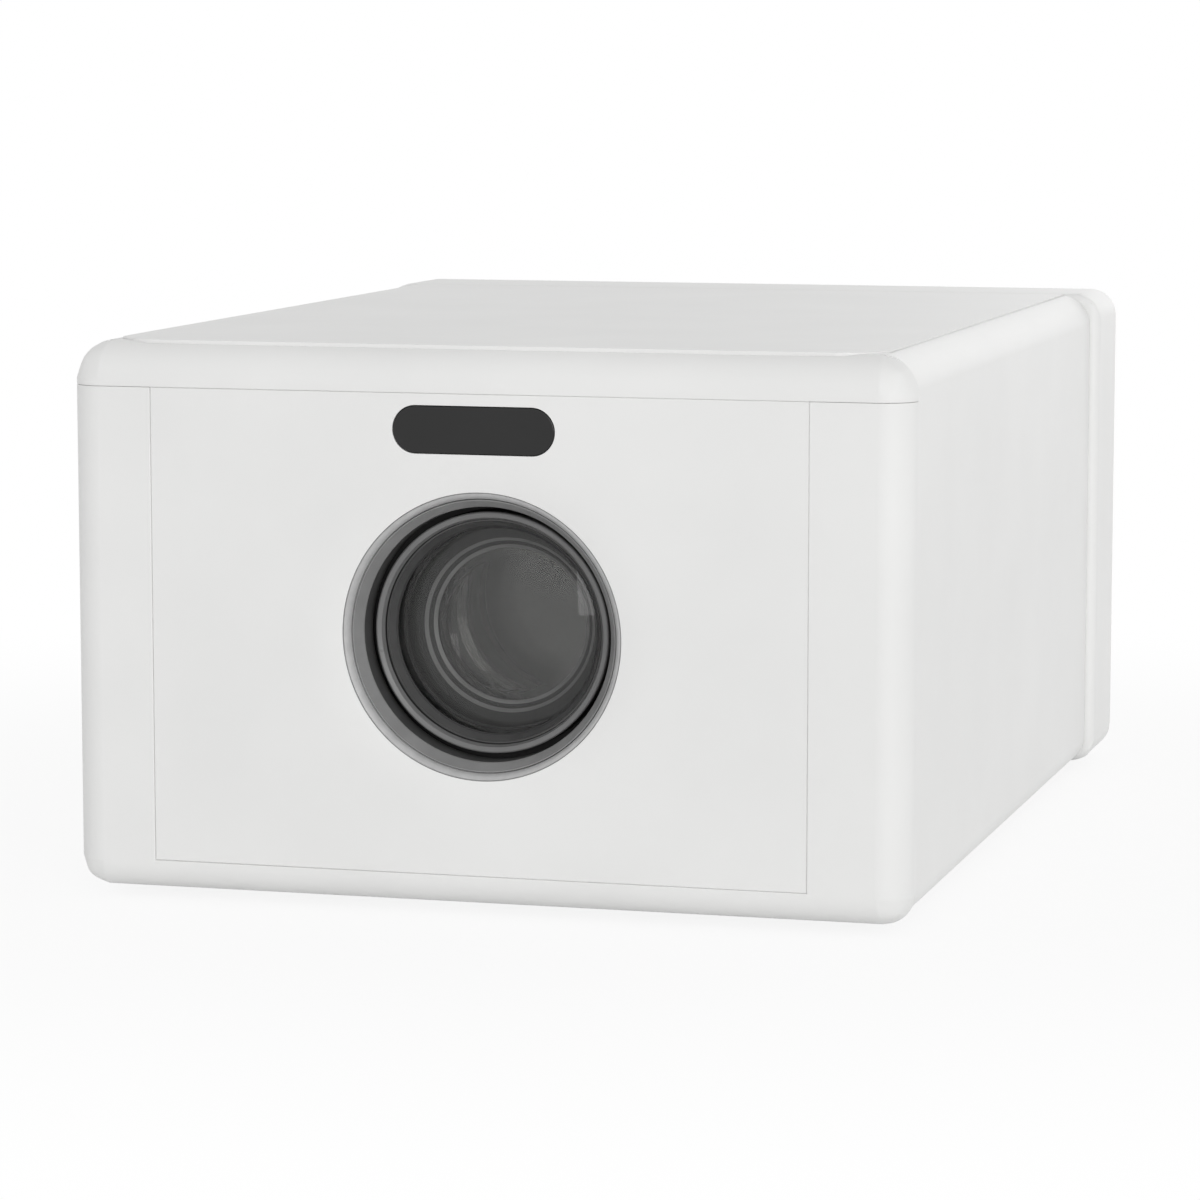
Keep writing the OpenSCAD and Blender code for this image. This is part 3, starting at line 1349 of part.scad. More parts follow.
module engine_screws() color("silver") on_axis() {
    // Through the lens holder's flange; one of them also holds the motor bracket
    for (x = [-flange_hole_x, flange_hole_x]) for (z = [-flange_hole_z, flange_hole_z]) {
        lift = x > 0 && z < 0 ? bracket_foot_t + fit : 0;
        translate([x, flange_y - lift, z]) rotate([90, 0, 0]) screw(flange_t + 2.4 + lift);
    }
    for (x = [-sink_screw_x, sink_screw_x]) for (z = [-sink_screw_z, sink_screw_z])
        translate([x, sink_front + sink_t, z]) rotate([-90, 0, 0])
            scale(sink_screw_size) screw(screw_len + 4.5);
    translate([0, 0, -lens_z]) at_ears() translate([0, 0, engine_low + ear_t]) screw(screw_len);
}

module board_screws() color("silver") in_case() {
    for (side = [-1, 1]) for (y = board_hole_y)
        translate([side * board_hole_x, y, board_top]) screw(3.8);
    at_power_posts() translate([0, 0, power_low + board_t]) screw(4.6);
    translate([side_x, key_board_y, low_row_z]) for (side = [-1, 1])
        translate([side * key_post_x, 0, 0]) rotate([90, 0, 0]) screw(6);
}

module fan_screws() color("silver") on_axis() at_fan_holes()
    translate([0, body_d - head_h - fit / 2, 0]) rotate([-90, 0, 0]) screw(screw_len + 1);

front_frame();
front_brow();
front_panel();
lens_bezel();
sensor_window();
sensor_board();
top_panel();
side_panel_left();
side_panel_right();
rear_cover();
rear_grille();
base_tray();
rubber_feet();
tripod_nut();
lens_holder();
lens_barrel();
cam_pins();
front_lens();
front_retainer();
lens_spacers();
middle_lens();
rear_lens();
rear_retainer();
focus_ring();
ring_clip();
focus_motor();
motor_shaft();
focus_pinion();
motor_bracket();
engine_lower();
engine_upper();
front_fresnel();
lcd_panel();
lcd_flex();
heat_glass();
rear_fresnel();
condenser_lens();
led_board();
led_emitter();
heat_sink();
fan_frame();
fan_rotor();
main_board();
video_socket();
data_sockets();
audio_jack();
mains_inlet();
power_board();
power_button();
key_board();
switch_plunger();
speaker_frames();
speaker_cones();
case_screws();
engine_screws();
board_screws();
fan_screws();
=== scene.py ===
"""Compact video projector: the moulded case, the lens and the finishes, dressed on the CAD frame."""
import json
from math import asin, cos, degrees, pi, radians, sin, sqrt

import bmesh
import bpy
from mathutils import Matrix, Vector

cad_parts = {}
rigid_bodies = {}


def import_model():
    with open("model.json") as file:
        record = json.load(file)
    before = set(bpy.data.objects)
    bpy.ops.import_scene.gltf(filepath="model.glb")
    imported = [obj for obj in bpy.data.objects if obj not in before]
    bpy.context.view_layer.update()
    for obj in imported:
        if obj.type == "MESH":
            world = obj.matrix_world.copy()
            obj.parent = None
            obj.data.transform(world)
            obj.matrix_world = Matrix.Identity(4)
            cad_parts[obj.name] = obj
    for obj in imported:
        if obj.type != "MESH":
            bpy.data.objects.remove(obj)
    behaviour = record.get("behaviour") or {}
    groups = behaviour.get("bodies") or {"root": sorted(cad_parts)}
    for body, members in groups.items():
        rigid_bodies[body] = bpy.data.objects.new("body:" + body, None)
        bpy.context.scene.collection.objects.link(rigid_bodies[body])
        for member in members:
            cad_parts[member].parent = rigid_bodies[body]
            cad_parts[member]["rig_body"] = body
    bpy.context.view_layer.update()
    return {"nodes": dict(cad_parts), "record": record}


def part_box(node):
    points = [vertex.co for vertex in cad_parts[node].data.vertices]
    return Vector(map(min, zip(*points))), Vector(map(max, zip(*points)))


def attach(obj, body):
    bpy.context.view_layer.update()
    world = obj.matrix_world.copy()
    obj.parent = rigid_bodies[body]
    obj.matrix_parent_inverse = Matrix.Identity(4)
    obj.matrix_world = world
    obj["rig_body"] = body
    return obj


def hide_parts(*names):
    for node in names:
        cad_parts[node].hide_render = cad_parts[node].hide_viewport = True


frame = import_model()
nodes = frame["nodes"]
slot_of = {part["node"]: part["material_slot"] for part in frame["record"]["subparts"]}

# Case measures are in millimetres: x across, y from the front face backwards, z from the case's underside.
MM = 0.001
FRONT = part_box("front_frame")[0].y
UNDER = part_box("front_frame")[0].z


def at(x, y, z):
    """A case point as a point of the frame."""
    return Vector((x * MM, FRONT + y * MM, UNDER + z * MM))


def span(node):
    """The lowest and the highest corner of a CAD node, as case points."""
    return [(v.x / MM, (v.y - FRONT) / MM, (v.z - UNDER) / MM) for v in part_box(node)]


def middle_of(node):
    """The x and the z of a CAD node's middle."""
    low, high = span(node)
    return (low[0] + high[0]) / 2, (low[2] + high[2]) / 2


HALF_W, _, BROW_Z = span("front_frame")[1]
REAR_HALF, DEEP, HIGH = span("rear_cover")[1]
(_, SIDE_FROM, _), (SIDE_HALF, SIDE_TO, _) = span("side_panel_right")
SHELL = span("front_brow")[1][2]
TOP_HALF = span("top_panel")[1][0]
TOP_FROM = span("top_panel")[0][1]
LENS_Z = middle_of("lens_barrel")[1]
# The seams of the solids, and the closer gap that the eye sees between two rounded edges
SEAM, GAP = 0.15, 0.02
SEAM_X = TOP_HALF + SEAM
FRAME_Y = SIDE_FROM - SEAM
REAR_Y = SIDE_TO + SEAM
WALL = 2.4
TOP_R, BOTTOM_R, CORNER_R, REAR_R, TOP_CORNER_R = 7, 5.5, 6.4, 5.5, 10
# Lips of the frame and of the cover behind the side panels: length, half widths, underside and floor
LIP, LIP_OUT, LIP_IN, LIP_UNDER, LIP_FLOOR = 6, 76.9, 74.9, 2.5, 4.5
# Between the lips the side panels carry the top panel's hooks, their own ledges and two screws each
BAY_FROM, BAY_TO = FRAME_Y + LIP + SEAM, REAR_Y - LIP - SEAM
LEDGE_W = 6
SIDE_SCREWS = 0.28, 0.72
# Screws below the lips, screws of the fan, and the button's middle as x and z
END_SCREW_X, END_SCREWS_Y = 45, (FRAME_Y + LIP - 2.6, REAR_Y - LIP + 2.6)
FAN_SCREW = 30.5
BUTTON = 58, 22
VIDEO_W, DATA_W = 15, 13.2


def along_bay(share):
    """The y at a share of the side panels' free length."""
    return BAY_FROM + share * (BAY_TO - BAY_FROM)


# Modelling

def only(obj):
    """Makes obj the active object and the only one selected."""
    bpy.ops.object.select_all(action="DESELECT")
    obj.select_set(True)
    bpy.context.view_layer.objects.active = obj


def block(name, low, high):
    """A box between two case points, with its place in its mesh."""
    a, b = at(*low), at(*high)
    bpy.ops.object.select_all(action="DESELECT")
    bpy.ops.mesh.primitive_cube_add(size=1, location=(a + b) / 2, scale=b - a)
    obj = bpy.context.object
    obj.name = obj.data.name = name
    bpy.ops.object.transform_apply(location=True, rotation=True, scale=True)
    return obj


def apply(obj, kind, **settings):
    """Adds a modifier and applies it."""
    only(obj)
    modifier = obj.modifiers.new(kind, kind)
    for key, value in settings.items():
        setattr(modifier, key, value)
    bpy.ops.object.modifier_apply(modifier=modifier.name)


def round_edges(obj, radius_of, segments=8, profile=0.5):
    """Rounds each edge by radius_of(middle, direction), in millimetres; the middle is a case point."""
    mesh = obj.data
    radii = []
    for edge in mesh.edges:
        a, b = (mesh.vertices[i].co for i in edge.vertices)
        middle = (a + b) / 2
        case_point = (middle.x / MM, (middle.y - FRONT) / MM, (middle.z - UNDER) / MM)
        radii.append(radius_of(case_point, (b - a).normalized()))
    largest = max(radii)
    weight = mesh.attributes.new("bevel_weight_edge", "FLOAT", "EDGE")
    weight.data.foreach_set("value", [r / largest for r in radii])
    apply(obj, "BEVEL", limit_method="WEIGHT", width=largest * MM, segments=segments, profile=profile,
          use_clamp_overlap=False)


def pill(name, middle, half, ends, radius, segments):
    """A block along y, between two ends, that reaches half to each side of its middle and has round corners."""
    (x, z), (wide, tall) = middle, half
    obj = block(name, (x - wide, ends[0], z - tall), (x + wide, ends[1], z + tall))
    round_edges(obj, lambda m, d: radius if abs(d.y) > 0.9 else 0, segments)
    return obj


def carve(obj, *tools, way="DIFFERENCE"):
    """Cuts the tools out of obj, or joins them to it, and removes them."""
    for tool in tools:
        apply(obj, "BOOLEAN", object=tool, operation=way, solver="EXACT")
        bpy.data.objects.remove(tool)


def edit_all(obj, *steps):
    """Runs edit-mode steps on the whole mesh."""
    only(obj)
    bpy.ops.object.mode_set(mode="EDIT")
    bpy.ops.mesh.select_all(action="SELECT")
    for step in steps:
        step()
    bpy.ops.object.mode_set(mode="OBJECT")


def face_out(obj):
    """Turns the faces outwards, where a box was made from swapped corners."""
    edit_all(obj, lambda: bpy.ops.mesh.normals_make_consistent(inside=False))


def slice_off(obj, point, normal):
    """Cuts the mesh by a plane and drops what lies on the normal's side."""
    edit_all(obj, lambda: bpy.ops.mesh.bisect(plane_co=at(*point), plane_no=normal, clear_outer=True))


def smooth(obj):
    """Drops faces without area, shades the curves smooth and keeps the large flat faces flat."""
    edit_all(obj, lambda: bpy.ops.mesh.dissolve_degenerate(threshold=0.000002))
    only(obj)
    bpy.ops.object.shade_smooth_by_angle(angle=radians(35))
    apply(obj, "WEIGHTED_NORMAL", weight=100, keep_sharp=True)


def soften(obj, width, segments=2, angle=40):
    """Breaks the sharp edges, as a mould does, and shades the rest smooth."""
    edit_all(obj, lambda: bpy.ops.mesh.remove_doubles(threshold=0.00001),
             lambda: bpy.ops.mesh.dissolve_limited(angle_limit=radians(0.3)))
    apply(obj, "BEVEL", limit_method="ANGLE", angle_limit=radians(angle), width=width * MM, segments=segments,
          use_clamp_overlap=False)
    smooth(obj)


def turned(name, points, centre=(0, LENS_Z), steps=128, upright=False):
    """Spins a profile of (radius, y) points round an axis along y, or of (radius, z) points round an upright one."""
    def place(r, along):
        return at(centre[0] + r, centre[1], along) if upright else at(centre[0] + r, along, centre[1])

    places = [place(r, along) for r, along in points]
    bpy.ops.object.select_all(action="DESELECT")
    bpy.ops.mesh.primitive_plane_add(size=MM, location=places[0])
    obj = bpy.context.object
    obj.name = obj.data.name = name
    bpy.ops.object.transform_apply(location=True, rotation=True, scale=True)
    bpy.ops.object.mode_set(mode="EDIT")
    bpy.ops.mesh.select_all(action="SELECT")
    bpy.ops.mesh.merge(type="CENTER")
    for here, there in zip(places, places[1:]):
        bpy.ops.mesh.extrude_vertices_move(TRANSFORM_OT_translate={"value": there - here})
    bpy.ops.mesh.select_all(action="SELECT")
    bpy.ops.mesh.spin(steps=steps, angle=2 * pi, center=place(0, 0), axis=(0, 0, 1) if upright else (0, 1, 0))
    bpy.ops.mesh.select_all(action="SELECT")
    bpy.ops.mesh.remove_doubles(threshold=0.000002)
    bpy.ops.mesh.normals_make_consistent(inside=False)
    bpy.ops.object.mode_set(mode="OBJECT")
    smooth(obj)
    return obj


def arc(r, y, radius, start, end, steps=8):
    """Points of a profile's arc about (r, y), from one angle to another, in degrees."""
    turns = [radians(start + (end - start) * k / steps) for k in range(steps + 1)]
    return [(r + radius * cos(a), y + radius * sin(a)) for a in turns]


def eased(*corners, steps=4):
    """A closed profile; each corner is (radius, y, easing), and the easing rounds it off."""
    points = []
    for before, here, after in zip(corners[-1:] + corners[:-1], corners, corners[1:] + corners[:1]):
        a, b, c = (Vector(corner[:2]) for corner in (before, here, after))
        start = b + (a - b).normalized() * here[2]
        end = b + (c - b).normalized() * here[2]
        stops = [k / steps for k in range(steps + 1)] if here[2] else [0]
        points += [tuple((1 - t) ** 2 * start + 2 * t * (1 - t) * b + t * t * end) for t in stops]
    return points + points[:1]


def joined(obj, *others):
    """Makes one object of several."""
    only(obj)
    for other in others:
        other.select_set(True)
    bpy.ops.object.join()
    return obj


def repeated(obj, *shifts):
    """Adds a copy of obj at each shift, in millimetres, and makes them one piece."""
    copies = []
    for shift in shifts:
        copy = bpy.data.objects.new(obj.name, obj.data.copy())
        bpy.context.scene.collection.objects.link(copy)
        edit_all(copy, lambda: bpy.ops.transform.translate(value=Vector(shift) * MM))
        copies.append(copy)
    return joined(obj, *copies)


def stand_for(obj, node, finish):
    """Gives a piece its finish and puts it in the place of a CAD node."""
    obj.data.materials.clear()
    obj.data.materials.append(finish)
    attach(obj, nodes[node]["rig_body"])
    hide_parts(node)


def paint(obj, finish, where):
    """Gives a second finish to the faces of a piece for which where(radius, y) holds, about the lens axis."""
    obj.data.materials.append(finish)
    for face in obj.data.polygons:
        x, y, z = face.center
        if where(sqrt(x * x + (z - UNDER - LENS_Z * MM) ** 2) / MM, (y - FRONT) / MM):
            face.material_index = len(obj.data.materials) - 1


# Finishes

def linear(code):
    """An sRGB hex colour as linear RGBA."""
    parts = [int(code[i:i + 2], 16) / 255 for i in (1, 3, 5)]
    return [c / 12.92 if c <= 0.04045 else ((c + 0.055) / 1.055) ** 2.4 for c in parts] + [1.0]


def add_node(tree, kind, values=None, links=None, **settings):
    """Adds a shader node with its settings, its sockets' values and its links."""
    node = tree.nodes.new(kind)
    for key, value in settings.items():
        setattr(node, key, value)
    for socket, value in (values or {}).items():
        node.inputs[socket].default_value = value
    for socket, source in (links or {}).items():
        tree.links.new(source, node.inputs[socket])
    return node


def new_finish(name, **values):
    """A material with one Principled shader; returns it with its tree, shader and Object coordinates."""
    made = bpy.data.materials.new(name)
    made.use_nodes = True
    tree = made.node_tree
    tree.nodes.clear()
    sockets = {key.replace("_", " ").title().replace("Ior", "IOR"): value for key, value in values.items()}
    shader = add_node(tree, "ShaderNodeBsdfPrincipled", sockets)
    add_node(tree, "ShaderNodeOutputMaterial", links={"Surface": shader.outputs[0]})
    place = add_node(tree, "ShaderNodeTexCoord").outputs["Object"]
    return made, tree, shader, place


def tint(tree, shader, pattern, low, high):
    """Lets the colour follow a pattern, between two tones."""
    tone = add_node(tree, "ShaderNodeValToRGB", links={"Fac": pattern})
    for stop, code, spot in zip(tone.color_ramp.elements, (low, high), (0.3, 0.7)):
        stop.color, stop.position = linear(code), spot
    tree.links.new(tone.outputs[0], shader.inputs["Base Color"])


def roughen(tree, shader, pattern, rough):
    """Lets the roughness follow a pattern, between two values."""
    sheen = add_node(tree, "ShaderNodeMapRange", {"To Min": rough[0], "To Max": rough[1]}, {"Value": pattern})
    tree.links.new(sheen.outputs[0], shader.inputs["Roughness"])


def emboss(tree, shader, height, strength, depth_mm):
    """Lets the surface rise and fall with a pattern."""
    bump = add_node(tree, "ShaderNodeBump", {"Strength": strength, "Distance": depth_mm * MM}, {"Height": height})
    tree.links.new(bump.outputs[0], shader.inputs["Normal"])


def moulded(name, low, high, patch_mm, grain_mm, depth_mm, rough, **values):
    """A grained surface: two close tones in soft patches, roughness that follows them, and a fine bump."""
    made, tree, shader, place = new_finish(name, **values)
    patch = add_node(tree, "ShaderNodeTexNoise", {"Scale": 1 / (patch_mm * MM), "Detail": 3.0}, {"Vector": place})
    tint(tree, shader, patch.outputs[0], low, high)
    roughen(tree, shader, patch.outputs[0], rough)
    grain = add_node(tree, "ShaderNodeTexNoise", {"Scale": 1 / (grain_mm * MM), "Detail": 2.0}, {"Vector": place})
    emboss(tree, shader, grain.outputs[0], 0.5, depth_mm)
    return made


# Injection-moulded ABS from a spark-eroded tool: a satin white with a very fine grain.
white_abs = moulded("moulded_white_abs", "#E9E9E8", "#EDEDEC", 35, 0.7, 0.012, (0.46, 0.54))
# Smoked PMMA, polished in the tool: dark and glossy, passes infrared only.
smoked_pmma = moulded("smoked_pmma", "#1A1A1A", "#1E1E1E", 20, 3, 0.004, (0.1, 0.16), specular_ior_level=0.38)
# Glass-filled ABS, satin grey: the bezel ring round the lens.
grey_abs = moulded("satin_grey_abs", "#858585", "#8F8F8F", 6, 0.5, 0.01, (0.35, 0.45))
# Painted and turned barrel: a smoother dark grey that catches a bright line at its rim; the same grey on the stop
# ring's slopes is a painted highlight.
barrel_paint_and_highlight = moulded("painted_barrel_and_highlight", "#6E6E6E", "#767676", 5, 0.4, 0.006, (0.25, 0.35))
# Pale grey on the rolled edge of the lens opening: painted shade, the darker tone that this edge shows as it turns
# into the opening, finely speckled.
lip_shade_grey = moulded("painted_shade_grey", "#B0B0B0", "#BABABA", 2, 0.3, 0.006, (0.3, 0.42))
# Matt black polycarbonate of the optical parts, eroded to swallow stray light.
black_pc = moulded("matt_black_polycarbonate", "#1B1B1B", "#232323", 8, 2.5, 0.01, (0.55, 0.7))
# Dark ABS of grille and fan.
dark_abs = moulded("dark_abs", "#2C2D2E", "#343536", 12, 0.6, 0.015, (0.45, 0.55))
# Moulded nitrile rubber: dull, with a slight bloom.
nitrile_rubber = moulded("nitrile_rubber", "#202020", "#2B2B2A", 4, 0.3, 0.03, (0.75, 0.88))
# Natural nylon of the pinion: milky and slightly waxy.
natural_nylon = moulded("natural_nylon", "#E2DECF", "#EAE6D8", 3, 0.3, 0.008, (0.35, 0.45))
# White solder resist over aluminium: the LED's board.
white_resist = moulded("white_solder_resist", "#E4E4DF", "#ECECE8", 5, 0.4, 0.01, (0.4, 0.5))
# Phosphor cast in silicone over the LED chips.
phosphor = moulded("phosphor_silicone", "#D9BC3A", "#E3CB55", 2, 0.3, 0.02, (0.35, 0.45))
# Doped paper of the speaker cones: dull, with felted fibres.
cone_paper = moulded("doped_cone_paper", "#1D1C1B", "#2A2927", 3, 0.25, 0.04, (0.7, 0.85))
# Polyimide film of the flex: amber and glossy.
polyimide_film = moulded("polyimide_film", "#A8641C", "#B9742A", 6, 0.4, 0.006, (0.2, 0.3))
# Zinc-plated steel: bright and slightly clouded by the passivation.
plated_steel = moulded("zinc_plated_steel", "#B9BBBC", "#C9CBCC", 3, 0.2, 0.006, (0.25, 0.38), metallic=1.0)
# Satin black ring round the front lens: smoother than the other optical parts, so it catches the window light; the
# same dark grey on the bezel's inner wall is painted shade.
ring_black_and_shade = moulded("satin_black_ring_and_painted_shade", "#4B4B4B", "#545454", 6, 0.4, 0.01, (0.35, 0.45))


def lined(name, low, high, stretch, depth_mm, rough, **values):
    """A worked surface: noise drawn out along an axis, for the tone, the roughness and a fine bump."""
    made, tree, shader, place = new_finish(name, **values)
    drawn = add_node(tree, "ShaderNodeMapping", {"Scale": stretch}, {"Vector": place})
    lines = add_node(tree, "ShaderNodeTexNoise", {"Scale": 1000.0, "Detail": 4.0}, {"Vector": drawn.outputs[0]})
    tint(tree, shader, lines.outputs[0], low, high)
    roughen(tree, shader, lines.outputs[0], rough)
    emboss(tree, shader, lines.outputs[0], 0.6, depth_mm)
    return made


# Turned brass insert: fine lathe lines round its axis.
turned_brass = lined("turned_brass", "#BE9C4D", "#D2B368", (0.1, 0.1, 6), 0.01, (0.2, 0.34), metallic=1.0)
# Extruded aluminium: drawn through a die, with faint lines along the fins.
extruded_aluminium = lined("extruded_aluminium", "#BCBDBF", "#D2D3D4", (3, 3, 0.05), 0.02, (0.28, 0.42), metallic=1.0)


def tracked(name, resist, track, width_mm, height_mm, line_mm, rough):
    """A board or a cell: fields parted by fine lines, with a sheen in soft patches."""
    made, tree, shader, place = new_finish(name)
    patch = add_node(tree, "ShaderNodeTexNoise", {"Scale": 200.0, "Detail": 3.0}, {"Vector": place})
    fields = add_node(tree, "ShaderNodeTexBrick", {
        "Color1": linear(resist[0]), "Color2": linear(resist[1]), "Mortar": linear(track), "Scale": 1.0,
        "Mortar Size": line_mm * MM, "Brick Width": width_mm * MM, "Row Height": height_mm * MM}, {"Vector": place})
    tree.links.new(fields.outputs["Color"], shader.inputs["Base Color"])
    roughen(tree, shader, patch.outputs[0], rough)
    emboss(tree, shader, fields.outputs["Fac"], 0.4, 0.03)
    return made


# Glass-fibre board under green solder resist: the copper tracks show through as lighter lines.
green_resist = tracked("green_solder_resist", ("#1B5834", "#206239"), "#2F7D4E", 9, 1.6, 0.25, (0.3, 0.42))
# LCD cell behind its polariser: a very fine grid between the pixels.
lcd_cell = tracked("lcd_cell", ("#18191C", "#1A1B1F"), "#0D0E10", 0.3, 0.3, 0.03, (0.08, 0.14))


def clear_finish(name, low, high, rough, ior):
    """A clear solid: two close tints, and a surface that is a little less even than a perfect one."""
    made, tree, shader, place = new_finish(name, ior=ior, transmission_weight=1.0)
    haze = add_node(tree, "ShaderNodeTexNoise", {"Scale": 150.0, "Detail": 4.0}, {"Vector": place})
    tone = add_node(tree, "ShaderNodeMix", {"A": linear(low), "B": linear(high)}, {"Factor": haze.outputs[0]},
                    data_type="RGBA")
    tree.links.new(tone.outputs["Result"], shader.inputs["Base Color"])
    roughen(tree, shader, haze.outputs[0], rough)
    return made, tree, shader, place


# Ground and polished crown glass; its coating takes away nearly half of the reflection.
crown_glass, _, shader, _ = clear_finish("coated_crown_glass", "#F3F3F2", "#F7F7F6", (0.01, 0.03), 1.52)
shader.inputs["Specular Tint"].default_value = (0.55, 0.55, 0.55, 1.0)
# Pressed acrylic plate with fresnel rings about the lens axis.
pressed_acrylic, tree, shader, place = clear_finish("pressed_acrylic", "#EEEEED", "#F3F3F2", (0.06, 0.1), 1.49)
centred = add_node(tree, "ShaderNodeMapping", {"Location": (0, 0, -(UNDER + LENS_Z * MM))}, {"Vector": place})
rings = add_node(tree, "ShaderNodeTexWave", {"Scale": 500.0}, {"Vector": centred.outputs[0]}, wave_type="RINGS",
                 rings_direction="Y", wave_profile="SAW")
emboss(tree, shader, rings.outputs["Fac"], 0.15, 0.1)

FINISHES = {
    "white_plastic": white_abs, "window_plastic": smoked_pmma, "circuit_board": green_resist,
    "grille_plastic": dark_abs, "rubber": nitrile_rubber, "brass": turned_brass, "holder_plastic": grey_abs,
    "barrel_plastic": barrel_paint_and_highlight, "black_plastic": black_pc, "lens_glass": crown_glass,
    "clear_acrylic": pressed_acrylic, "steel": plated_steel, "white_nylon": natural_nylon, "lcd_glass": lcd_cell,
    "flex_film": polyimide_film, "white_ceramic": white_resist, "yellow_phosphor": phosphor,
    "aluminium": extruded_aluminium, "speaker_paper": cone_paper,
}
for name, obj in nodes.items():
    obj.data.materials.clear()
    obj.data.materials.append(FINISHES[slot_of[name]])


# The moulded case

# How far back the front pieces' block reaches, and the corners of a room round all of it, for cuts
BODY_BACK = 60
NEAR, FAR = (-99, -9, -9), (99, 99, 120)


def rounded_body(name, inset=0):
    """The rounded block that the front pieces are cut from, shrunk by inset."""
    obj = block(name, (inset - HALF_W, inset, inset), (HALF_W - inset, BODY_BACK, SHELL - inset))

    def radius(middle, direction):
        if middle[1] > BODY_BACK - 1:
            return 0
        if abs(direction.z) > 0.9:
            return CORNER_R - inset
        return (TOP_R if middle[2] > SHELL / 2 else BOTTOM_R) - inset

    round_edges(obj, radius, segments=12)
    return obj


def screw_boss(x, y, r=3.2):
    """A post that takes a case screw from below."""
    bore, low, high = 1.3, 2.5, 10
    profile = eased((bore, low, 0), (r, low, 0), (r, high, 0.3), (bore, high, 0.2))
    return turned("screw_boss", profile, (x, y), 32, upright=True)


def front_frame_piece():
    obj = rounded_body("frame_moulding")
    low, high = span("front_panel")
    carve(obj, rounded_body("frame_room", WALL), block("rear_cut", (NEAR[0], FRAME_Y, NEAR[2]), FAR),
          block("upper_cut", (NEAR[0], NEAR[1], BROW_Z), FAR),
          block("aperture", (low[0] - SEAM, -5, low[2] - SEAM), (high[0] + SEAM, 9, FAR[2])))
    soften(obj, 0.2)
    # Lip behind the side panels, open at the top
    lip = block("frame_lip", (-LIP_OUT, 2, LIP_UNDER), (LIP_OUT, FRAME_Y + LIP, BROW_Z - 0.1))
    round_edges(lip, lambda m, d: 3 if abs(d.y) > 0.9 and m[2] < 9 else 0)
    carve(lip, block("lip_room", (-LIP_IN, 1, LIP_FLOOR), (LIP_IN, FRAME_Y + LIP + 1, HIGH)))
    bosses = [screw_boss(x, END_SCREWS_Y[0]) for x in (-END_SCREW_X, END_SCREW_X)]
    stand_for(joined(obj, lip, *bosses), "front_frame", white_abs)


def front_brow_piece():
    obj = rounded_body("brow_moulding")
    over, room = 6, 20
    well = block("top_well", (-SEAM_X, TOP_FROM - GAP, SHELL - over), (SEAM_X, BODY_BACK, SHELL + over))
    round_edges(well, lambda m, d: TOP_CORNER_R if abs(d.z) > 0.9 and m[1] < BODY_BACK / 2 else 0)
    sides = [block("side_room", (x, FRAME_Y, SHELL - room), (x + room, BODY_BACK, SHELL + over))
             for x in (SEAM_X, -SEAM_X - room)]
    carve(obj, rounded_body("brow_room", WALL), block("rear_cut", (NEAR[0], TOP_FROM + 10, NEAR[2]), FAR),
          block("lower_cut", NEAR, (FAR[0], FAR[1], BROW_Z + GAP)), well, *sides)
    soften(obj, 0.2)
    ledge_half, ledge_low, ledge_high = 63.7, 97.9, 99.6
    ledge = block("brow_ledge", (-ledge_half, 4, ledge_low), (ledge_half, TOP_FROM + 7, ledge_high))
    # Tabs behind the corner posts
    tab_x, tab_half = 70.3, 3.3
    tabs = [block("brow_tab", (x - tab_half, 2.5, BROW_Z - 7), (x + tab_half, 4.6, 98.6)) for x in (-tab_x, tab_x)]
    stand_for(joined(obj, ledge, *tabs), "front_brow", white_abs)


# The dish leaves the face tangentially, and a tighter roll takes it into the lens opening
HOLE_R, DISH_R, DISH_CURVE, EDGE_R = 25.3, 33.5, 36, 1.6


def front_panel_piece():
    low, high = span("front_panel")
    inset = low[1]
    grow = SEAM - GAP
    obj = block("panel_moulding", (low[0] - grow, inset, low[2] - grow), (high[0] + grow, inset + 2, BROW_Z))
    round_edges(obj, lambda m, d: 0.2 if m[1] < inset + 0.5 else 0, segments=2)
    # Thick ring and collar behind the dish
    core, start, ring_r, ring_back, collar_r, collar_back = 20, inset + 1, 34.8, 4.4, HOLE_R + 2, 8.5
    carve(obj, turned("collar", [(core, start), (ring_r, start), (ring_r, ring_back), (collar_r, ring_back),
                                 (collar_r, collar_back), (core, collar_back), (core, start)]), way="UNION")
    slope = asin((DISH_R - HOLE_R - EDGE_R) / (DISH_CURVE - EDGE_R))
    edge_y = inset + DISH_CURVE * (1 - cos(slope)) + EDGE_R * cos(slope)
    turn = -90 - degrees(slope)
    roll = arc(DISH_R, inset + DISH_CURVE, DISH_CURVE, -90, turn, 16)
    lip_r, lip_y = roll[-1]
    # A fine groove parts the dish from its lip, which carries painted shade
    roll += [(lip_r - 0.1, lip_y + 0.3)] + arc(HOLE_R + EDGE_R, edge_y, EDGE_R, turn, -180, 10)[1:]
    before, behind = -3, 12
    carve(obj, turned("dish", [(0, before), (DISH_R, before)] + roll + [(HOLE_R, behind), (0, behind)], steps=192))
    mid_x, mid_z, wide, tall = window_place()
    carve(obj, pill("window_pocket", (mid_x, mid_z), (wide + 0.1, tall + 0.1), (before, 9), tall + 0.09, 16))
    smooth(obj)
    post = eased((0.9, 2, 0), (2.2, 2, 0), (2.2, 8.6, 0.2), (0.9, 8.6, 0.2))
    posts = [turned("sensor_post", post, (mid_x + side * (wide + 4.8), mid_z), 24) for side in (-1, 1)]
    stand_for(joined(obj, *posts), "front_panel", white_abs)
    # The lip's faces take the pale grey: painted shade on the opening's rolled edge
    paint(obj, lip_shade_grey, lambda r, y: HOLE_R - 0.1 < r < lip_r and lip_y < y < edge_y)


# The sensor window's rim, which lies behind the panel
RIM = 1.2


def window_place():
    """Middle and half sizes of the part of the sensor window that shows."""
    low, high = span("sensor_window")
    return *middle_of("sensor_window"), (high[0] - low[0]) / 2 - RIM, (high[2] - low[2]) / 2 - RIM


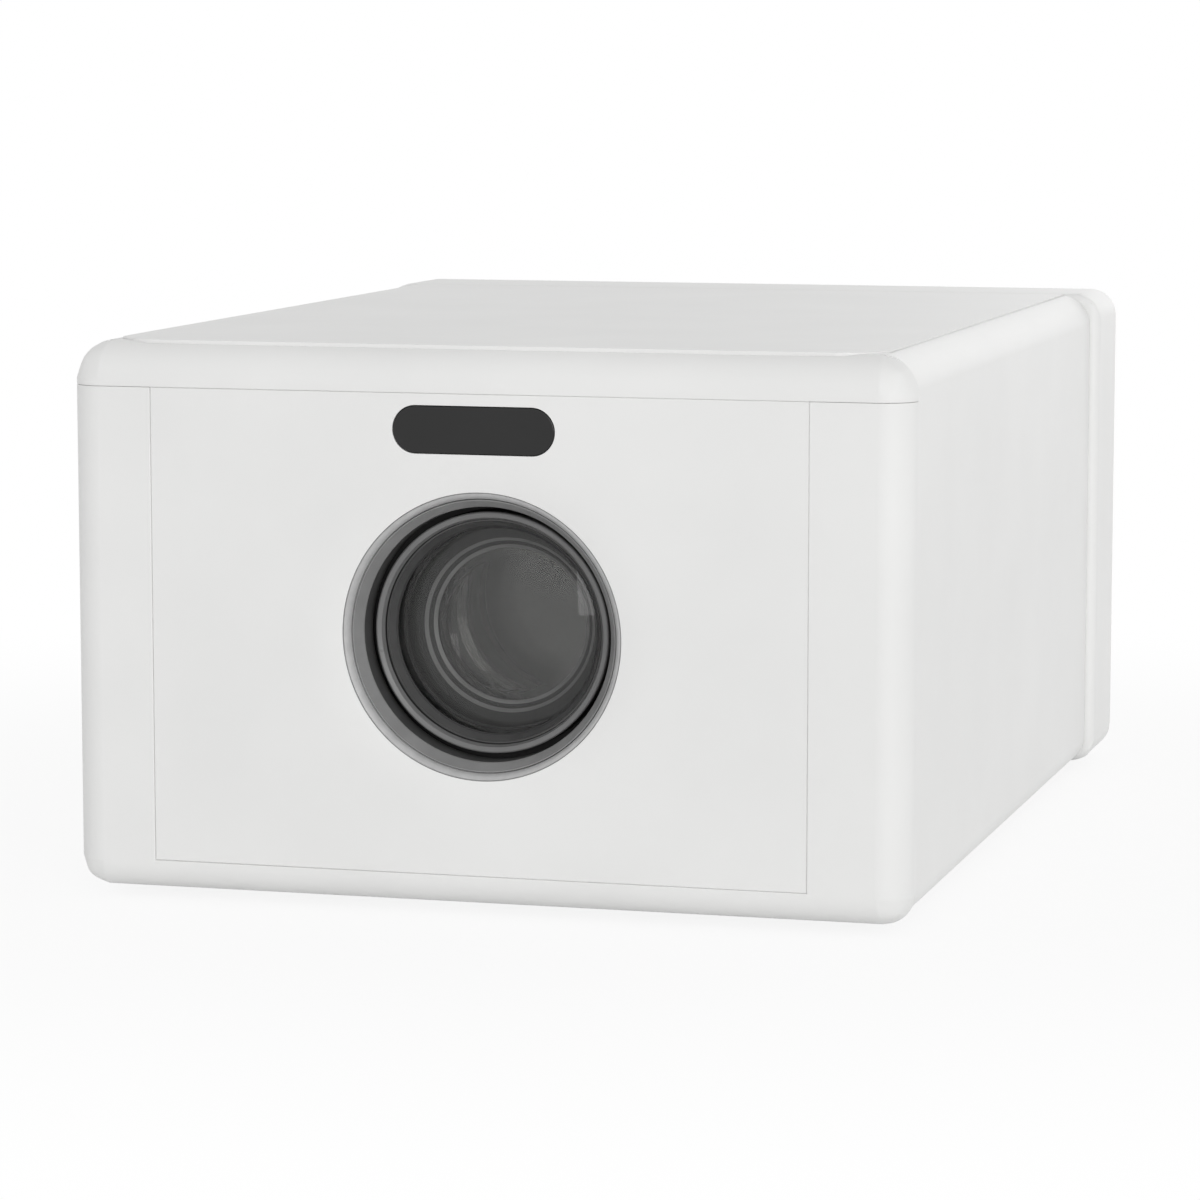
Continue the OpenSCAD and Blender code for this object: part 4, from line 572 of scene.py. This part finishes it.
def sensor_window_piece():
    mid_x, mid_z, wide, tall = window_place()
    front, back = (corner[1] for corner in span("sensor_window"))
    obj = pill("window_lens", (mid_x, mid_z), (wide, tall), (front, back - 1), tall - 0.01, 16)
    rim = pill("window_rim", (mid_x, mid_z), (wide + RIM, tall + RIM), (back - 1.6, back), tall + RIM - 0.01, 16)
    carve(obj, rim, way="UNION")
    soften(obj, 0.3, segments=3)
    stand_for(obj, "sensor_window", smoked_pmma)


def top_panel_piece():
    thick, roll_w, drop = 3.2, 14, 0.62
    # Modelled tall, so that an even bevel becomes a wide soft roll when the height is scaled back
    tall = roll_w / drop
    half = SEAM_X - GAP
    obj = block("top_moulding", (-half, TOP_FROM, HIGH - thick), (half, REAR_Y - GAP, HIGH))

    def stretch(factor):
        edit_all(obj, lambda: bpy.ops.transform.resize(value=(1, 1, factor), center_override=at(0, 0, HIGH)))

    stretch(tall)
    round_edges(obj, lambda m, d: TOP_CORNER_R if abs(d.z) > 0.9 and m[1] < DEEP / 2 else 0)
    round_edges(obj, lambda m, d: roll_w if m[2] > HIGH - 0.1 and m[1] < REAR_Y - 1 else 0, segments=12, profile=0.33)
    stretch(1 / tall)
    smooth(obj)
    # Ribs and hooks start a little inside the plate
    under, sunk = HIGH - thick, HIGH - thick + 0.1
    rib_half, rib_w = 63.4, 1.6
    ribs = [block("top_rib", (-rib_half, y, under - 2.7), (rib_half, y + rib_w, sunk))
            for y in (FRAME_Y + 40, REAR_Y - 40)]
    hooks = []
    hook_x, hook_half, hook_long, hook_low, toe_top = SEAM_X - LEDGE_W - SEAM, 1.6, 8, under - 3.6, under - 2
    for y in map(along_bay, (0.2, 0.5, 0.8)):
        for side in (-1, 1):
            inner, outer = side * (hook_x - hook_half), side * (hook_x + hook_half)
            leg = block("hook_leg", (inner, y, hook_low), ((inner + outer) / 2, y + hook_long, sunk))
            toe = block("hook_toe", (inner, y, hook_low), (outer, y + hook_long, toe_top))
            face_out(leg)
            face_out(toe)
            carve(leg, toe, way="UNION")
            hooks.append(leg)
    stand_for(joined(obj, *ribs, *hooks), "top_panel", white_abs)


def side_panel_piece(side, node):
    obj = block(node.replace("panel", "moulding"), (0, SIDE_FROM, 0), (side * SIDE_HALF, SIDE_TO, SHELL))
    face_out(obj)

    def radius(middle, direction):
        if abs(direction.y) < 0.9 or abs(middle[0]) < 1:
            return 0
        return TOP_R - 0.6 if middle[2] > SHELL / 2 else BOTTOM_R

    round_edges(obj, radius, segments=12)
    slice_off(obj, (side * SEAM_X, 0, 0), (-side, 0, 0))
    # Only the outer skin stays; its ends are open until the wall is added
    only(obj)
    bpy.ops.object.mode_set(mode="EDIT")
    mesh = bmesh.from_edit_mesh(obj.data)
    bpy.ops.mesh.select_mode(type="FACE")
    for face in mesh.faces:
        face.select_set(abs(face.normal.y) > 0.9)
    bmesh.update_edit_mesh(obj.data)
    bpy.ops.mesh.delete(type="FACE")
    bpy.ops.mesh.select_mode(type="VERT")
    bpy.ops.object.mode_set(mode="OBJECT")
    apply(obj, "SOLIDIFY", thickness=WALL * MM, offset=-1, use_even_offset=True)
    soften(obj, 0.25)
    # Ledges for the base tray and the top panel: underside, and how far each stays off the panel's outer face
    thick = 1.8
    ledges = [block("ledge", (side * (SEAM_X - LEDGE_W), BAY_FROM, z), (side * (SIDE_HALF - off), BAY_TO, z + thick))
              for z, off in ((LIP_UNDER, 1.9), (HIGH - 5.1, 3.2))]
    for ledge in ledges:
        face_out(ledge)
    bosses = [screw_boss(side * (SEAM_X - 3.2), along_bay(share), 2.8) for share in SIDE_SCREWS]
    stand_for(joined(obj, *ledges, *bosses), node, white_abs)


def cover_tools(inside, lip_top):
    """What is cut out of the rear cover: its hollow, the openings of the rear face and the screw wells."""
    start, past = inside - 4, DEEP + 8

    def bore(name, r, centre, steps=32, start=start):
        return turned(name, [(0, start), (r, start), (r, past), (0, past)], centre, steps)

    tools = [block("hollow", (WALL - REAR_HALF, REAR_Y + 2, WALL), (REAR_HALF - WALL, inside, HIGH - WALL)),
             block("throat", (-LIP_IN, REAR_Y - 5, LIP_FLOOR), (LIP_IN, REAR_Y + 5, lip_top - 2)),
             bore("grille_hole", 34.4, (0, LENS_Z), 128)]
    # A port for the one video socket, and one at each end for the two data sockets
    room = 0.3
    for node, wide in (("video_socket", VIDEO_W), ("data_sockets", DATA_W)):
        low, high = span(node)
        for port_x in {low[0], high[0] - wide}:
            tools.append(block("port", (port_x - room, start, low[2] - room),
                               (port_x + wide + room, past, high[2] + room)))
    tools.append(bore("jack_hole", 3.3, middle_of("audio_jack")))
    tools.append(block("inlet_hole", (-69.8, start, 15.2), (-46.2, past, 28.8)))
    tools.append(bore("button_hole", 6.05, BUTTON, 48))
    tools += [bore("screw_well", 2.7, corner, start=DEEP - 1.4) for corner in fan_corners()]
    # Five slots in front of each speaker, inside a circle
    speaker_x, speaker_z, speaker_r, pitch, slot_half = 58, LENS_Z + 12.5, 13, 5, 1.1
    for x in (-speaker_x, speaker_x):
        for step in range(-2, 3):
            reach = sqrt(speaker_r ** 2 - (step * pitch) ** 2)
            tools.append(pill("sound_slot", (x + step * pitch, speaker_z), (slot_half, reach), (start, past),
                              slot_half - 0.01, 6))
    return tools


def fan_corners():
    """The x and the z of the fan's screws."""
    return [(x, LENS_Z + z) for x in (-FAN_SCREW, FAN_SCREW) for z in (-FAN_SCREW, FAN_SCREW)]


def rear_cover_piece():
    obj = block("rear_moulding", (-REAR_HALF, REAR_Y, 0), (REAR_HALF, DEEP, HIGH))

    def radius(middle, direction):
        if abs(direction.y) > 0.9:
            return REAR_R
        return 2 if middle[1] < REAR_Y + 1 else 5

    round_edges(obj, radius, segments=8)
    inside = DEEP - WALL
    lip_top = min(SHELL - WALL - 0.1, HIGH - 3.3)
    carve(obj, *cover_tools(inside, lip_top))
    soften(obj, 0.25)
    # Lip behind the side panels, fan posts, shelves of the main board and posts of the key board
    lip = block("cover_lip", (-LIP_OUT, REAR_Y - LIP, LIP_UNDER), (LIP_OUT, REAR_Y + 1, lip_top))
    round_edges(lip, lambda m, d: 0 if abs(d.y) < 0.9 else 3 if m[2] < 9 else 4)
    carve(lip, block("lip_room", (-LIP_IN, REAR_Y - LIP - 1, LIP_FLOOR), (LIP_IN, REAR_Y + 2, lip_top - 2)))

    def post(name, bore, r, front, centre):
        return turned(name, eased((bore, front, 0), (r, front, 0.2), (r, inside, 0), (bore, inside, 0)), centre, 32)

    posts = [screw_boss(x, END_SCREWS_Y[1]) for x in (-END_SCREW_X, END_SCREW_X)]
    posts += [post("fan_post", 1.5, 3.2, inside - 1.7, corner) for corner in fan_corners()]
    posts += [post("key_post", 1.3, 2.6, 208.7, (BUTTON[0] + x, BUTTON[1])) for x in (-11, 11)]
    under_board = span("main_board")[0][2]
    shelf_x, shelf_half = 46, 3.2
    shelves = [block("board_shelf", (x - shelf_half, 207.4, under_board - 6), (x + shelf_half, inside, under_board))
               for x in (-shelf_x, shelf_x)]
    stand_for(joined(obj, lip, *posts, *shelves), "rear_cover", white_abs)


# Lens

def lens_bezel_piece():
    (_, front, _), (flange_r, back, _) = span("lens_bezel")
    # The face slopes inwards, towards the barrel, from just behind the opening's rolled edge
    face, bore, outer, flange = front - 2.9, 23.6, HOLE_R - 0.1, 8.6
    ring = turned("bezel_ring", eased(
        (bore, face + 2.4, 0.3), (HOLE_R - 0.3, face, 0.15), (outer, face + 0.1, 0.1), (outer, flange, 0),
        (flange_r, flange, 0.2), (flange_r, back, 0.2), (bore, back, 0.2)))
    stand_for(ring, "lens_bezel", grey_abs)
    # The inner wall is painted dark: painted shade in the gap beside the barrel
    paint(ring, ring_black_and_shade, lambda r, y: r < bore + 0.05 and y > face + 2.5)


def lens_barrel_piece():
    (_, front, _), (bead_r, back, _) = span("lens_barrel")
    chamber, inner, seat, wall_r, bead = 20.9, 18.5, front + 10.1, bead_r - 0.4, front + 1.6
    barrel = turned("barrel", eased(
        (chamber, front + 1.4, 0.1), (bead_r - 1.1, front + 0.3, 0.1), (bead_r - 0.3, front, 0.15),
        (bead_r, front + 0.2, 0.15), (bead_r, bead, 0.2), (wall_r, bead, 0), (wall_r, back, 0.3), (inner, back, 0.3),
        (inner, seat, 0.1), (chamber, seat, 0)))
    stand_for(barrel, "lens_barrel", barrel_paint_and_highlight)
    # Black inside, as lens barrels are
    paint(barrel, black_pc, lambda r, y: r < chamber + 0.1 and y > front + 1.3)


# The front lens: visible radius, curvature, and how far it sits in front of the solid's place
GLASS_R, GLASS_CURVE, FORWARD = 19.2, 60, 0.95


def front_lens_piece():
    (_, vertex, _), (edge_r, back, _) = span("front_lens")
    dome = arc(0, vertex - FORWARD + GLASS_CURVE, GLASS_CURVE, -90, degrees(asin(edge_r / GLASS_CURVE)) - 90, 24)
    lens = turned("front_element", dome + [(edge_r, back), (0, back)])
    stand_for(lens, "front_lens", crown_glass)
    # The ground edge is blackened
    paint(lens, black_pc, lambda r, y: r > edge_r - 0.1)


def front_retainer_piece():
    (_, front, _), (out, back, _) = span("front_retainer")
    seat, groove = back - FORWARD, front + 0.9
    # A cone with a fine groove at its front and a ledge at its back, next to the glass
    ring = turned("retainer_ring", eased(
        (out - 0.3, groove, 0.05), (out, groove, 0), (out, seat, 0), (GLASS_R, seat - 0.6, 0.05),
        (GLASS_R, seat - 0.9, 0.05), (GLASS_R + 0.3, seat - 1.0, 0.05), (GLASS_R + 1.2, front + 0.6, 0.1)))
    stand_for(ring, "front_retainer", ring_black_and_shade)
    paint(ring, black_pc, lambda r, y: r < GLASS_R + 0.4 and y > seat - 1.2)


def lens_spacers_piece():
    (_, front, _), (out, back, _) = span("lens_spacers")
    stop, depth = 13, 5.3
    # The stop's mouth has a small step; its two slopes are painted lighter grey, painted highlights that draw fine
    # bright lines
    low_slope, high_slope = (stop, stop + 0.7), (stop + 1.5, stop + 2.2)
    mouth, end = 3.3, 4.9
    ring = turned("stop_ring", eased(
        (low_slope[0], front + end, 0.1), (low_slope[1], front + 4.5, 0.05), (high_slope[0], front + 3.9, 0.05),
        (high_slope[1], front + mouth, 0.05), (out - 0.5, front, 0.1), (out, front, 0), (out, front + depth, 0),
        (stop, front + depth, 0.1)))
    tube_front, tube_r = front + depth + 4.7, out - 2
    tube = turned("spacer_tube", eased((tube_r, tube_front, 0.2), (out, tube_front, 0.1), (out, back, 0.1),
                                       (tube_r, back, 0.2)))
    stand_for(joined(ring, tube), "lens_spacers", black_pc)
    # Painted highlights: the stop's two slopes in the barrel's lighter grey
    paint(ring, barrel_paint_and_highlight, lambda r, y: mouth < y - front < end and (
        r < low_slope[1] or high_slope[0] < r < high_slope[1]))


def middle_lens_piece():
    (_, front, _), (edge_r, back, _) = span("middle_lens")
    curve, sunk = 45, 1.6
    rim = sqrt(curve ** 2 - (curve - sunk) ** 2)
    hollow = arc(0, front + sunk - curve, curve, 90, 90 - degrees(asin(rim / curve)), 16)
    lens = turned("middle_element", hollow + [(edge_r, front), (edge_r, back), (0, back)])
    stand_for(lens, "middle_lens", crown_glass)


# Rear face and underside

def rear_grille_piece():
    (_, front, _), (lip_r, back, _) = span("rear_grille")
    face_r, start = lip_r - 2.7, front + 1.4
    obj = turned("grille_plate", [(0, front), (lip_r, front), (lip_r, start), (face_r, start), (face_r, back),
                                  (0, back)])
    # The flat faces become whole before the slots are cut, so that each run gives the same mesh
    edit_all(obj, lambda: bpy.ops.mesh.dissolve_limited(angle_limit=radians(0.3)))
    pitch, slot_half, rim = 5.4, 1.5, 2.6
    for row in range(-5, 6):
        reach = sqrt((face_r - rim) ** 2 - (abs(row * pitch) + slot_half) ** 2)
        carve(obj, pill("air_slot", (0, LENS_Z + row * pitch), (reach, slot_half), (front - 2, back + 2),
                        slot_half - 0.05, 6))
    soften(obj, 0.3, segments=3)
    stand_for(obj, "rear_grille", dark_abs)


def rubber_feet_piece():
    low, high = span("rubber_feet")
    foot_r, tread = 7, low[2]
    x, y = high[0] - foot_r, low[1] + foot_r
    # A hollow tread inside a rounded rim
    profile = [(0, tread + 0.25)] + arc(4.6, tread + 0.5, 0.5, -90, -30, 4) + arc(6.1, tread + 0.9, 0.9, -90, 0, 8)
    profile += [(foot_r, high[2]), (0, high[2])]
    foot = turned("rubber_foot", profile, (x, y), 64, upright=True)
    shift_x, shift_y = -2 * x, (high[1] - foot_r) - y
    repeated(foot, (shift_x, 0, 0), (0, shift_y, 0), (shift_x, shift_y, 0))
    stand_for(foot, "rubber_feet", nitrile_rubber)


# Pan-head screws: radii of tip, shank and head, and the height of the head's rim and of its crown above that
TIP_R, SHANK_R, HEAD_R, HEAD_RIM, CROWN = 0.9, 1.25, 2.4, 0.5, 0.8


def screw_piece(name, seat, length, centre, upright):
    """A pan-head screw with a cross recess; its head lies past the seat, towards lower z or larger y."""
    way = -1 if upright else 1
    tip = seat - way * length
    profile = [(0, tip), (TIP_R, tip), (SHANK_R, seat - way * (length - 0.8)), (SHANK_R, seat), (HEAD_R, seat),
               (HEAD_R, seat + way * HEAD_RIM)]
    profile += [(HEAD_R - CROWN * t * t, seat + way * (HEAD_RIM + CROWN * t)) for t in (0.4, 0.7, 1)]
    profile.append((0, seat + way * (HEAD_RIM + CROWN)))
    obj = turned(name, profile, centre, 32, upright)
    a, b = centre
    long, short = 1.4, 0.35
    low, high = seat + way * 0.6, seat + way * 2
    for wide, tall in ((long, short), (short, long)):
        if upright:
            tool = block("recess", (a - wide, b - tall, high), (a + wide, b + tall, low))
        else:
            tool = block("recess", (a - wide, low, b - tall), (a + wide, high, b + tall))
        carve(obj, tool)
    smooth(obj)
    return obj


def case_screws_piece():
    side_x = span("case_screws")[1][0] - HEAD_R
    front_y, rear_y = END_SCREWS_Y
    obj = screw_piece("case_screw", 1.35, 7.2, (END_SCREW_X, front_y), True)
    spots = [(-END_SCREW_X, front_y), (END_SCREW_X, rear_y), (-END_SCREW_X, rear_y)]
    spots += [(side * side_x, along_bay(share)) for side in (-1, 1) for share in SIDE_SCREWS]
    repeated(obj, *[(x - END_SCREW_X, y - front_y, 0) for x, y in spots])
    stand_for(obj, "case_screws", plated_steel)


def fan_screws_piece():
    obj = screw_piece("fan_screw", DEEP - 1.35, 9.5, (-FAN_SCREW, LENS_Z - FAN_SCREW), False)
    pitch = 2 * FAN_SCREW
    repeated(obj, (pitch, 0, 0), (0, 0, pitch), (pitch, 0, pitch))
    stand_for(obj, "fan_screws", plated_steel)


def power_button_piece():
    (_, back, _), (_, face, _) = span("power_button")
    flange, flange_back, flange_r, stem_r, cap_r = DEEP - WALL - 0.3, DEEP - WALL - 0.3 - 2.3, 7.4, 2, 6
    # A shallow dish for the finger, and the stem that meets the switch
    stem = [(0, back), (stem_r, back), (stem_r, flange_back), (flange_r, flange_back), (flange_r, flange),
            (cap_r, flange)]
    dished = arc(cap_r - 0.5, face - 0.5, 0.5, 0, 90, 5) + [(3, face - 0.22), (0, face - 0.35)]
    cap = turned("button_cap", stem + dished, BUTTON, 64)
    stand_for(cap, "power_button", white_abs)


def mains_inlet_piece():
    low, high = span("mains_inlet")
    middle, face = middle_of("mains_inlet"), high[1]
    obj = pill("inlet_body", middle, (11.5, 6.5), (low[1], face), 1, 4)
    mouth = (9.2, 4.7)
    carve(obj, pill("inlet_recess", middle, mouth, (low[1] + 2.5, face + 2), mouth[1] - 0.01, 12))
    soften(obj, 0.3, segments=3)
    flange = block("inlet_flange", (low[0], DEEP - WALL - 2.1, low[2]), (high[0], DEEP - WALL - 0.1, high[2]))
    pin = [(0, low[1] + 2), (1.2, low[1] + 2)] + arc(0.4, face - 3.8, 0.8, 0, 90, 5) + [(0, face - 3)]
    pins = [turned("inlet_pin", pin, (middle[0] + side * 4.3, middle[1]), 32) for side in (-1, 1)]
    carve(flange, block("flange_room", (middle[0] - mouth[0], face - 20, middle[1] - mouth[1]),
                        (middle[0] + mouth[0], face + 2, middle[1] + mouth[1])))
    stand_for(joined(obj, flange, *pins), "mains_inlet", black_pc)


def socket(name, low, high, wall, draw, tongue):
    """A folded metal shell with a plastic tongue; draw is cut off its lower corners."""
    obj = block(name, low, high)
    room = block("mouth", (low[0] + wall, low[1] + 2, low[2] + wall), (high[0] - wall, high[1] + 2, high[2] - wall))
    for part in (obj, room):
        round_edges(part, lambda m, d: draw if abs(d.y) > 0.9 and m[2] < (low[2] + high[2]) / 2 else 0.01, segments=1)
    carve(obj, room)
    soften(obj, 0.12)
    half, bottom, top = tongue
    mid = (low[0] + high[0]) / 2
    plate = block("tongue", (mid - half, low[1] + 1, bottom), (mid + half, high[1] - 1.3, top))
    soften(plate, 0.15)
    return joined(obj, plate)


def sockets_pieces():
    low, high = span("video_socket")
    mid = middle_of("video_socket")[1]
    video = socket("video_shell", low, high, 0.6, 1.6, (5.2, mid - 0.2, mid + 0.8))
    stand_for(video, "video_socket", plated_steel)
    low, high = span("data_sockets")
    mid = middle_of("data_sockets")[1]
    pair = socket("data_shell", low, (low[0] + DATA_W, high[1], high[2]), 0.4, 0.3, (5.6, mid + 0.4, mid + 2.3))
    repeated(pair, (high[0] - low[0] - DATA_W, 0, 0))
    stand_for(pair, "data_sockets", plated_steel)
    low, high = span("audio_jack")
    centre = middle_of("audio_jack")
    plug_r, nose_r, room_r, face, nose_back = 1.8, 3, 2.9, high[1], high[1] - 14
    nose = turned("jack_nose", eased((plug_r, nose_back, 0), (nose_r, nose_back, 0), (nose_r, face, 0.3),
                                     (plug_r, face, 0.25)), centre, 48)
    body = block("jack_body", low, (high[0], DEEP - WALL - 0.1, high[2]))
    start = low[1] + 0.6
    carve(body, turned("jack_bore", [(0, start), (room_r, start), (room_r, DEEP), (0, DEEP)], centre, 48))
    stand_for(joined(nose, body), "audio_jack", black_pc)


front_frame_piece()
front_brow_piece()
front_panel_piece()
sensor_window_piece()
top_panel_piece()
side_panel_piece(1, "side_panel_right")
side_panel_piece(-1, "side_panel_left")
rear_cover_piece()
lens_bezel_piece()
lens_barrel_piece()
front_lens_piece()
front_retainer_piece()
lens_spacers_piece()
middle_lens_piece()
rear_grille_piece()
rubber_feet_piece()
case_screws_piece()
fan_screws_piece()
power_button_piece()
mains_inlet_piece()
sockets_pieces()


# Stage, light and camera

WHITE = (1, 1, 1, 1)


def seen_share(tree):
    """1 for the camera, for reflections and through glass, 0 for the light that falls on the object."""
    path = add_node(tree, "ShaderNodeLightPath")
    share = path.outputs["Is Camera Ray"]
    for other in ("Is Glossy Ray", "Is Transmission Ray"):
        larger = add_node(tree, "ShaderNodeMath", links={0: share, 1: path.outputs[other]}, operation="MAXIMUM")
        share = larger.outputs[0]
    return share


world = bpy.data.worlds.new("soft_room")
bpy.context.scene.world = world
world.use_nodes = True
sky = world.node_tree
sky.nodes.clear()
# The room is a little darker overhead than at eye level
up = add_node(sky, "ShaderNodeSeparateXYZ", links={0: add_node(sky, "ShaderNodeTexCoord").outputs["Generated"]})
fade = add_node(sky, "ShaderNodeMapRange", {"From Min": 0.0, "From Max": 1.0, "To Min": 0.9, "To Max": 0.49},
                {"Value": up.outputs["Z"]})
room = add_node(sky, "ShaderNodeBackground", {"Color": WHITE}, {"Strength": fade.outputs[0]})
plain = add_node(sky, "ShaderNodeBackground", {"Color": WHITE, "Strength": 1.0})
mixed = add_node(sky, "ShaderNodeMixShader", links={0: seen_share(sky), 1: room.outputs[0], 2: plain.outputs[0]})
add_node(sky, "ShaderNodeOutputWorld", links={"Surface": mixed.outputs[0]})

bpy.ops.object.select_all(action="DESELECT")
bpy.ops.mesh.primitive_plane_add(size=8, location=(0, 0, 0))
floor = bpy.context.object
floor.name = "floor"
paper = bpy.data.materials.new("white_paper_floor")
paper.use_nodes = True
sheet = paper.node_tree
sheet.nodes.clear()
# White further out; near the object the paper keeps a share of its own shading, for the shadow
far = add_node(sheet, "ShaderNodeVectorMath", links={0: add_node(sheet, "ShaderNodeTexCoord").outputs["Object"]},
               operation="LENGTH")
share = add_node(sheet, "ShaderNodeMapRange", {"From Min": 0.12, "From Max": 0.34, "To Min": 0.88, "To Max": 1.0},
                 {"Value": far.outputs["Value"]}, interpolation_type="SMOOTHSTEP")
share = add_node(sheet, "ShaderNodeMath", links={0: share.outputs[0], 1: seen_share(sheet)}, operation="MULTIPLY")
matt = add_node(sheet, "ShaderNodeBsdfDiffuse", {"Color": linear("#F2F2F2")})
glow = add_node(sheet, "ShaderNodeEmission", {"Color": WHITE, "Strength": 1.0})
mixed = add_node(sheet, "ShaderNodeMixShader", links={0: share.outputs[0], 1: matt.outputs[0], 2: glow.outputs[0]})
add_node(sheet, "ShaderNodeOutputMaterial", links={"Surface": mixed.outputs[0]})
floor.data.materials.append(paper)


def soft_box(name, place, size, watts):
    """A square area lamp that looks at the middle of the case."""
    bpy.ops.object.select_all(action="DESELECT")
    bpy.ops.object.light_add(type="AREA", location=place)
    lamp = bpy.context.object
    lamp.name = name
    lamp.data.size, lamp.data.energy = size, watts
    lamp.rotation_euler = (Vector((0, 0, 0.05)) - Vector(place)).to_track_quat("-Z", "Y").to_euler()


soft_box("key_box", (1.95, -3.1, 0.75), 2.4, 53)
soft_box("back_box", (0.3, 2.0, 0.5), 1.2, 6)

camera = bpy.data.objects.new("photo_camera", bpy.data.cameras.new("photo_camera"))
bpy.context.scene.collection.objects.link(camera)
camera.location = (0.23829, -0.88648, 0.1614)
camera.rotation_euler = (radians(82.806), 0, radians(15.526))
camera.data.sensor_width, camera.data.lens = 36, 134.7
camera.data.clip_start, camera.data.clip_end = 0.05, 20
bpy.context.scene.camera = camera
bpy.context.scene.view_settings.view_transform = "Standard"
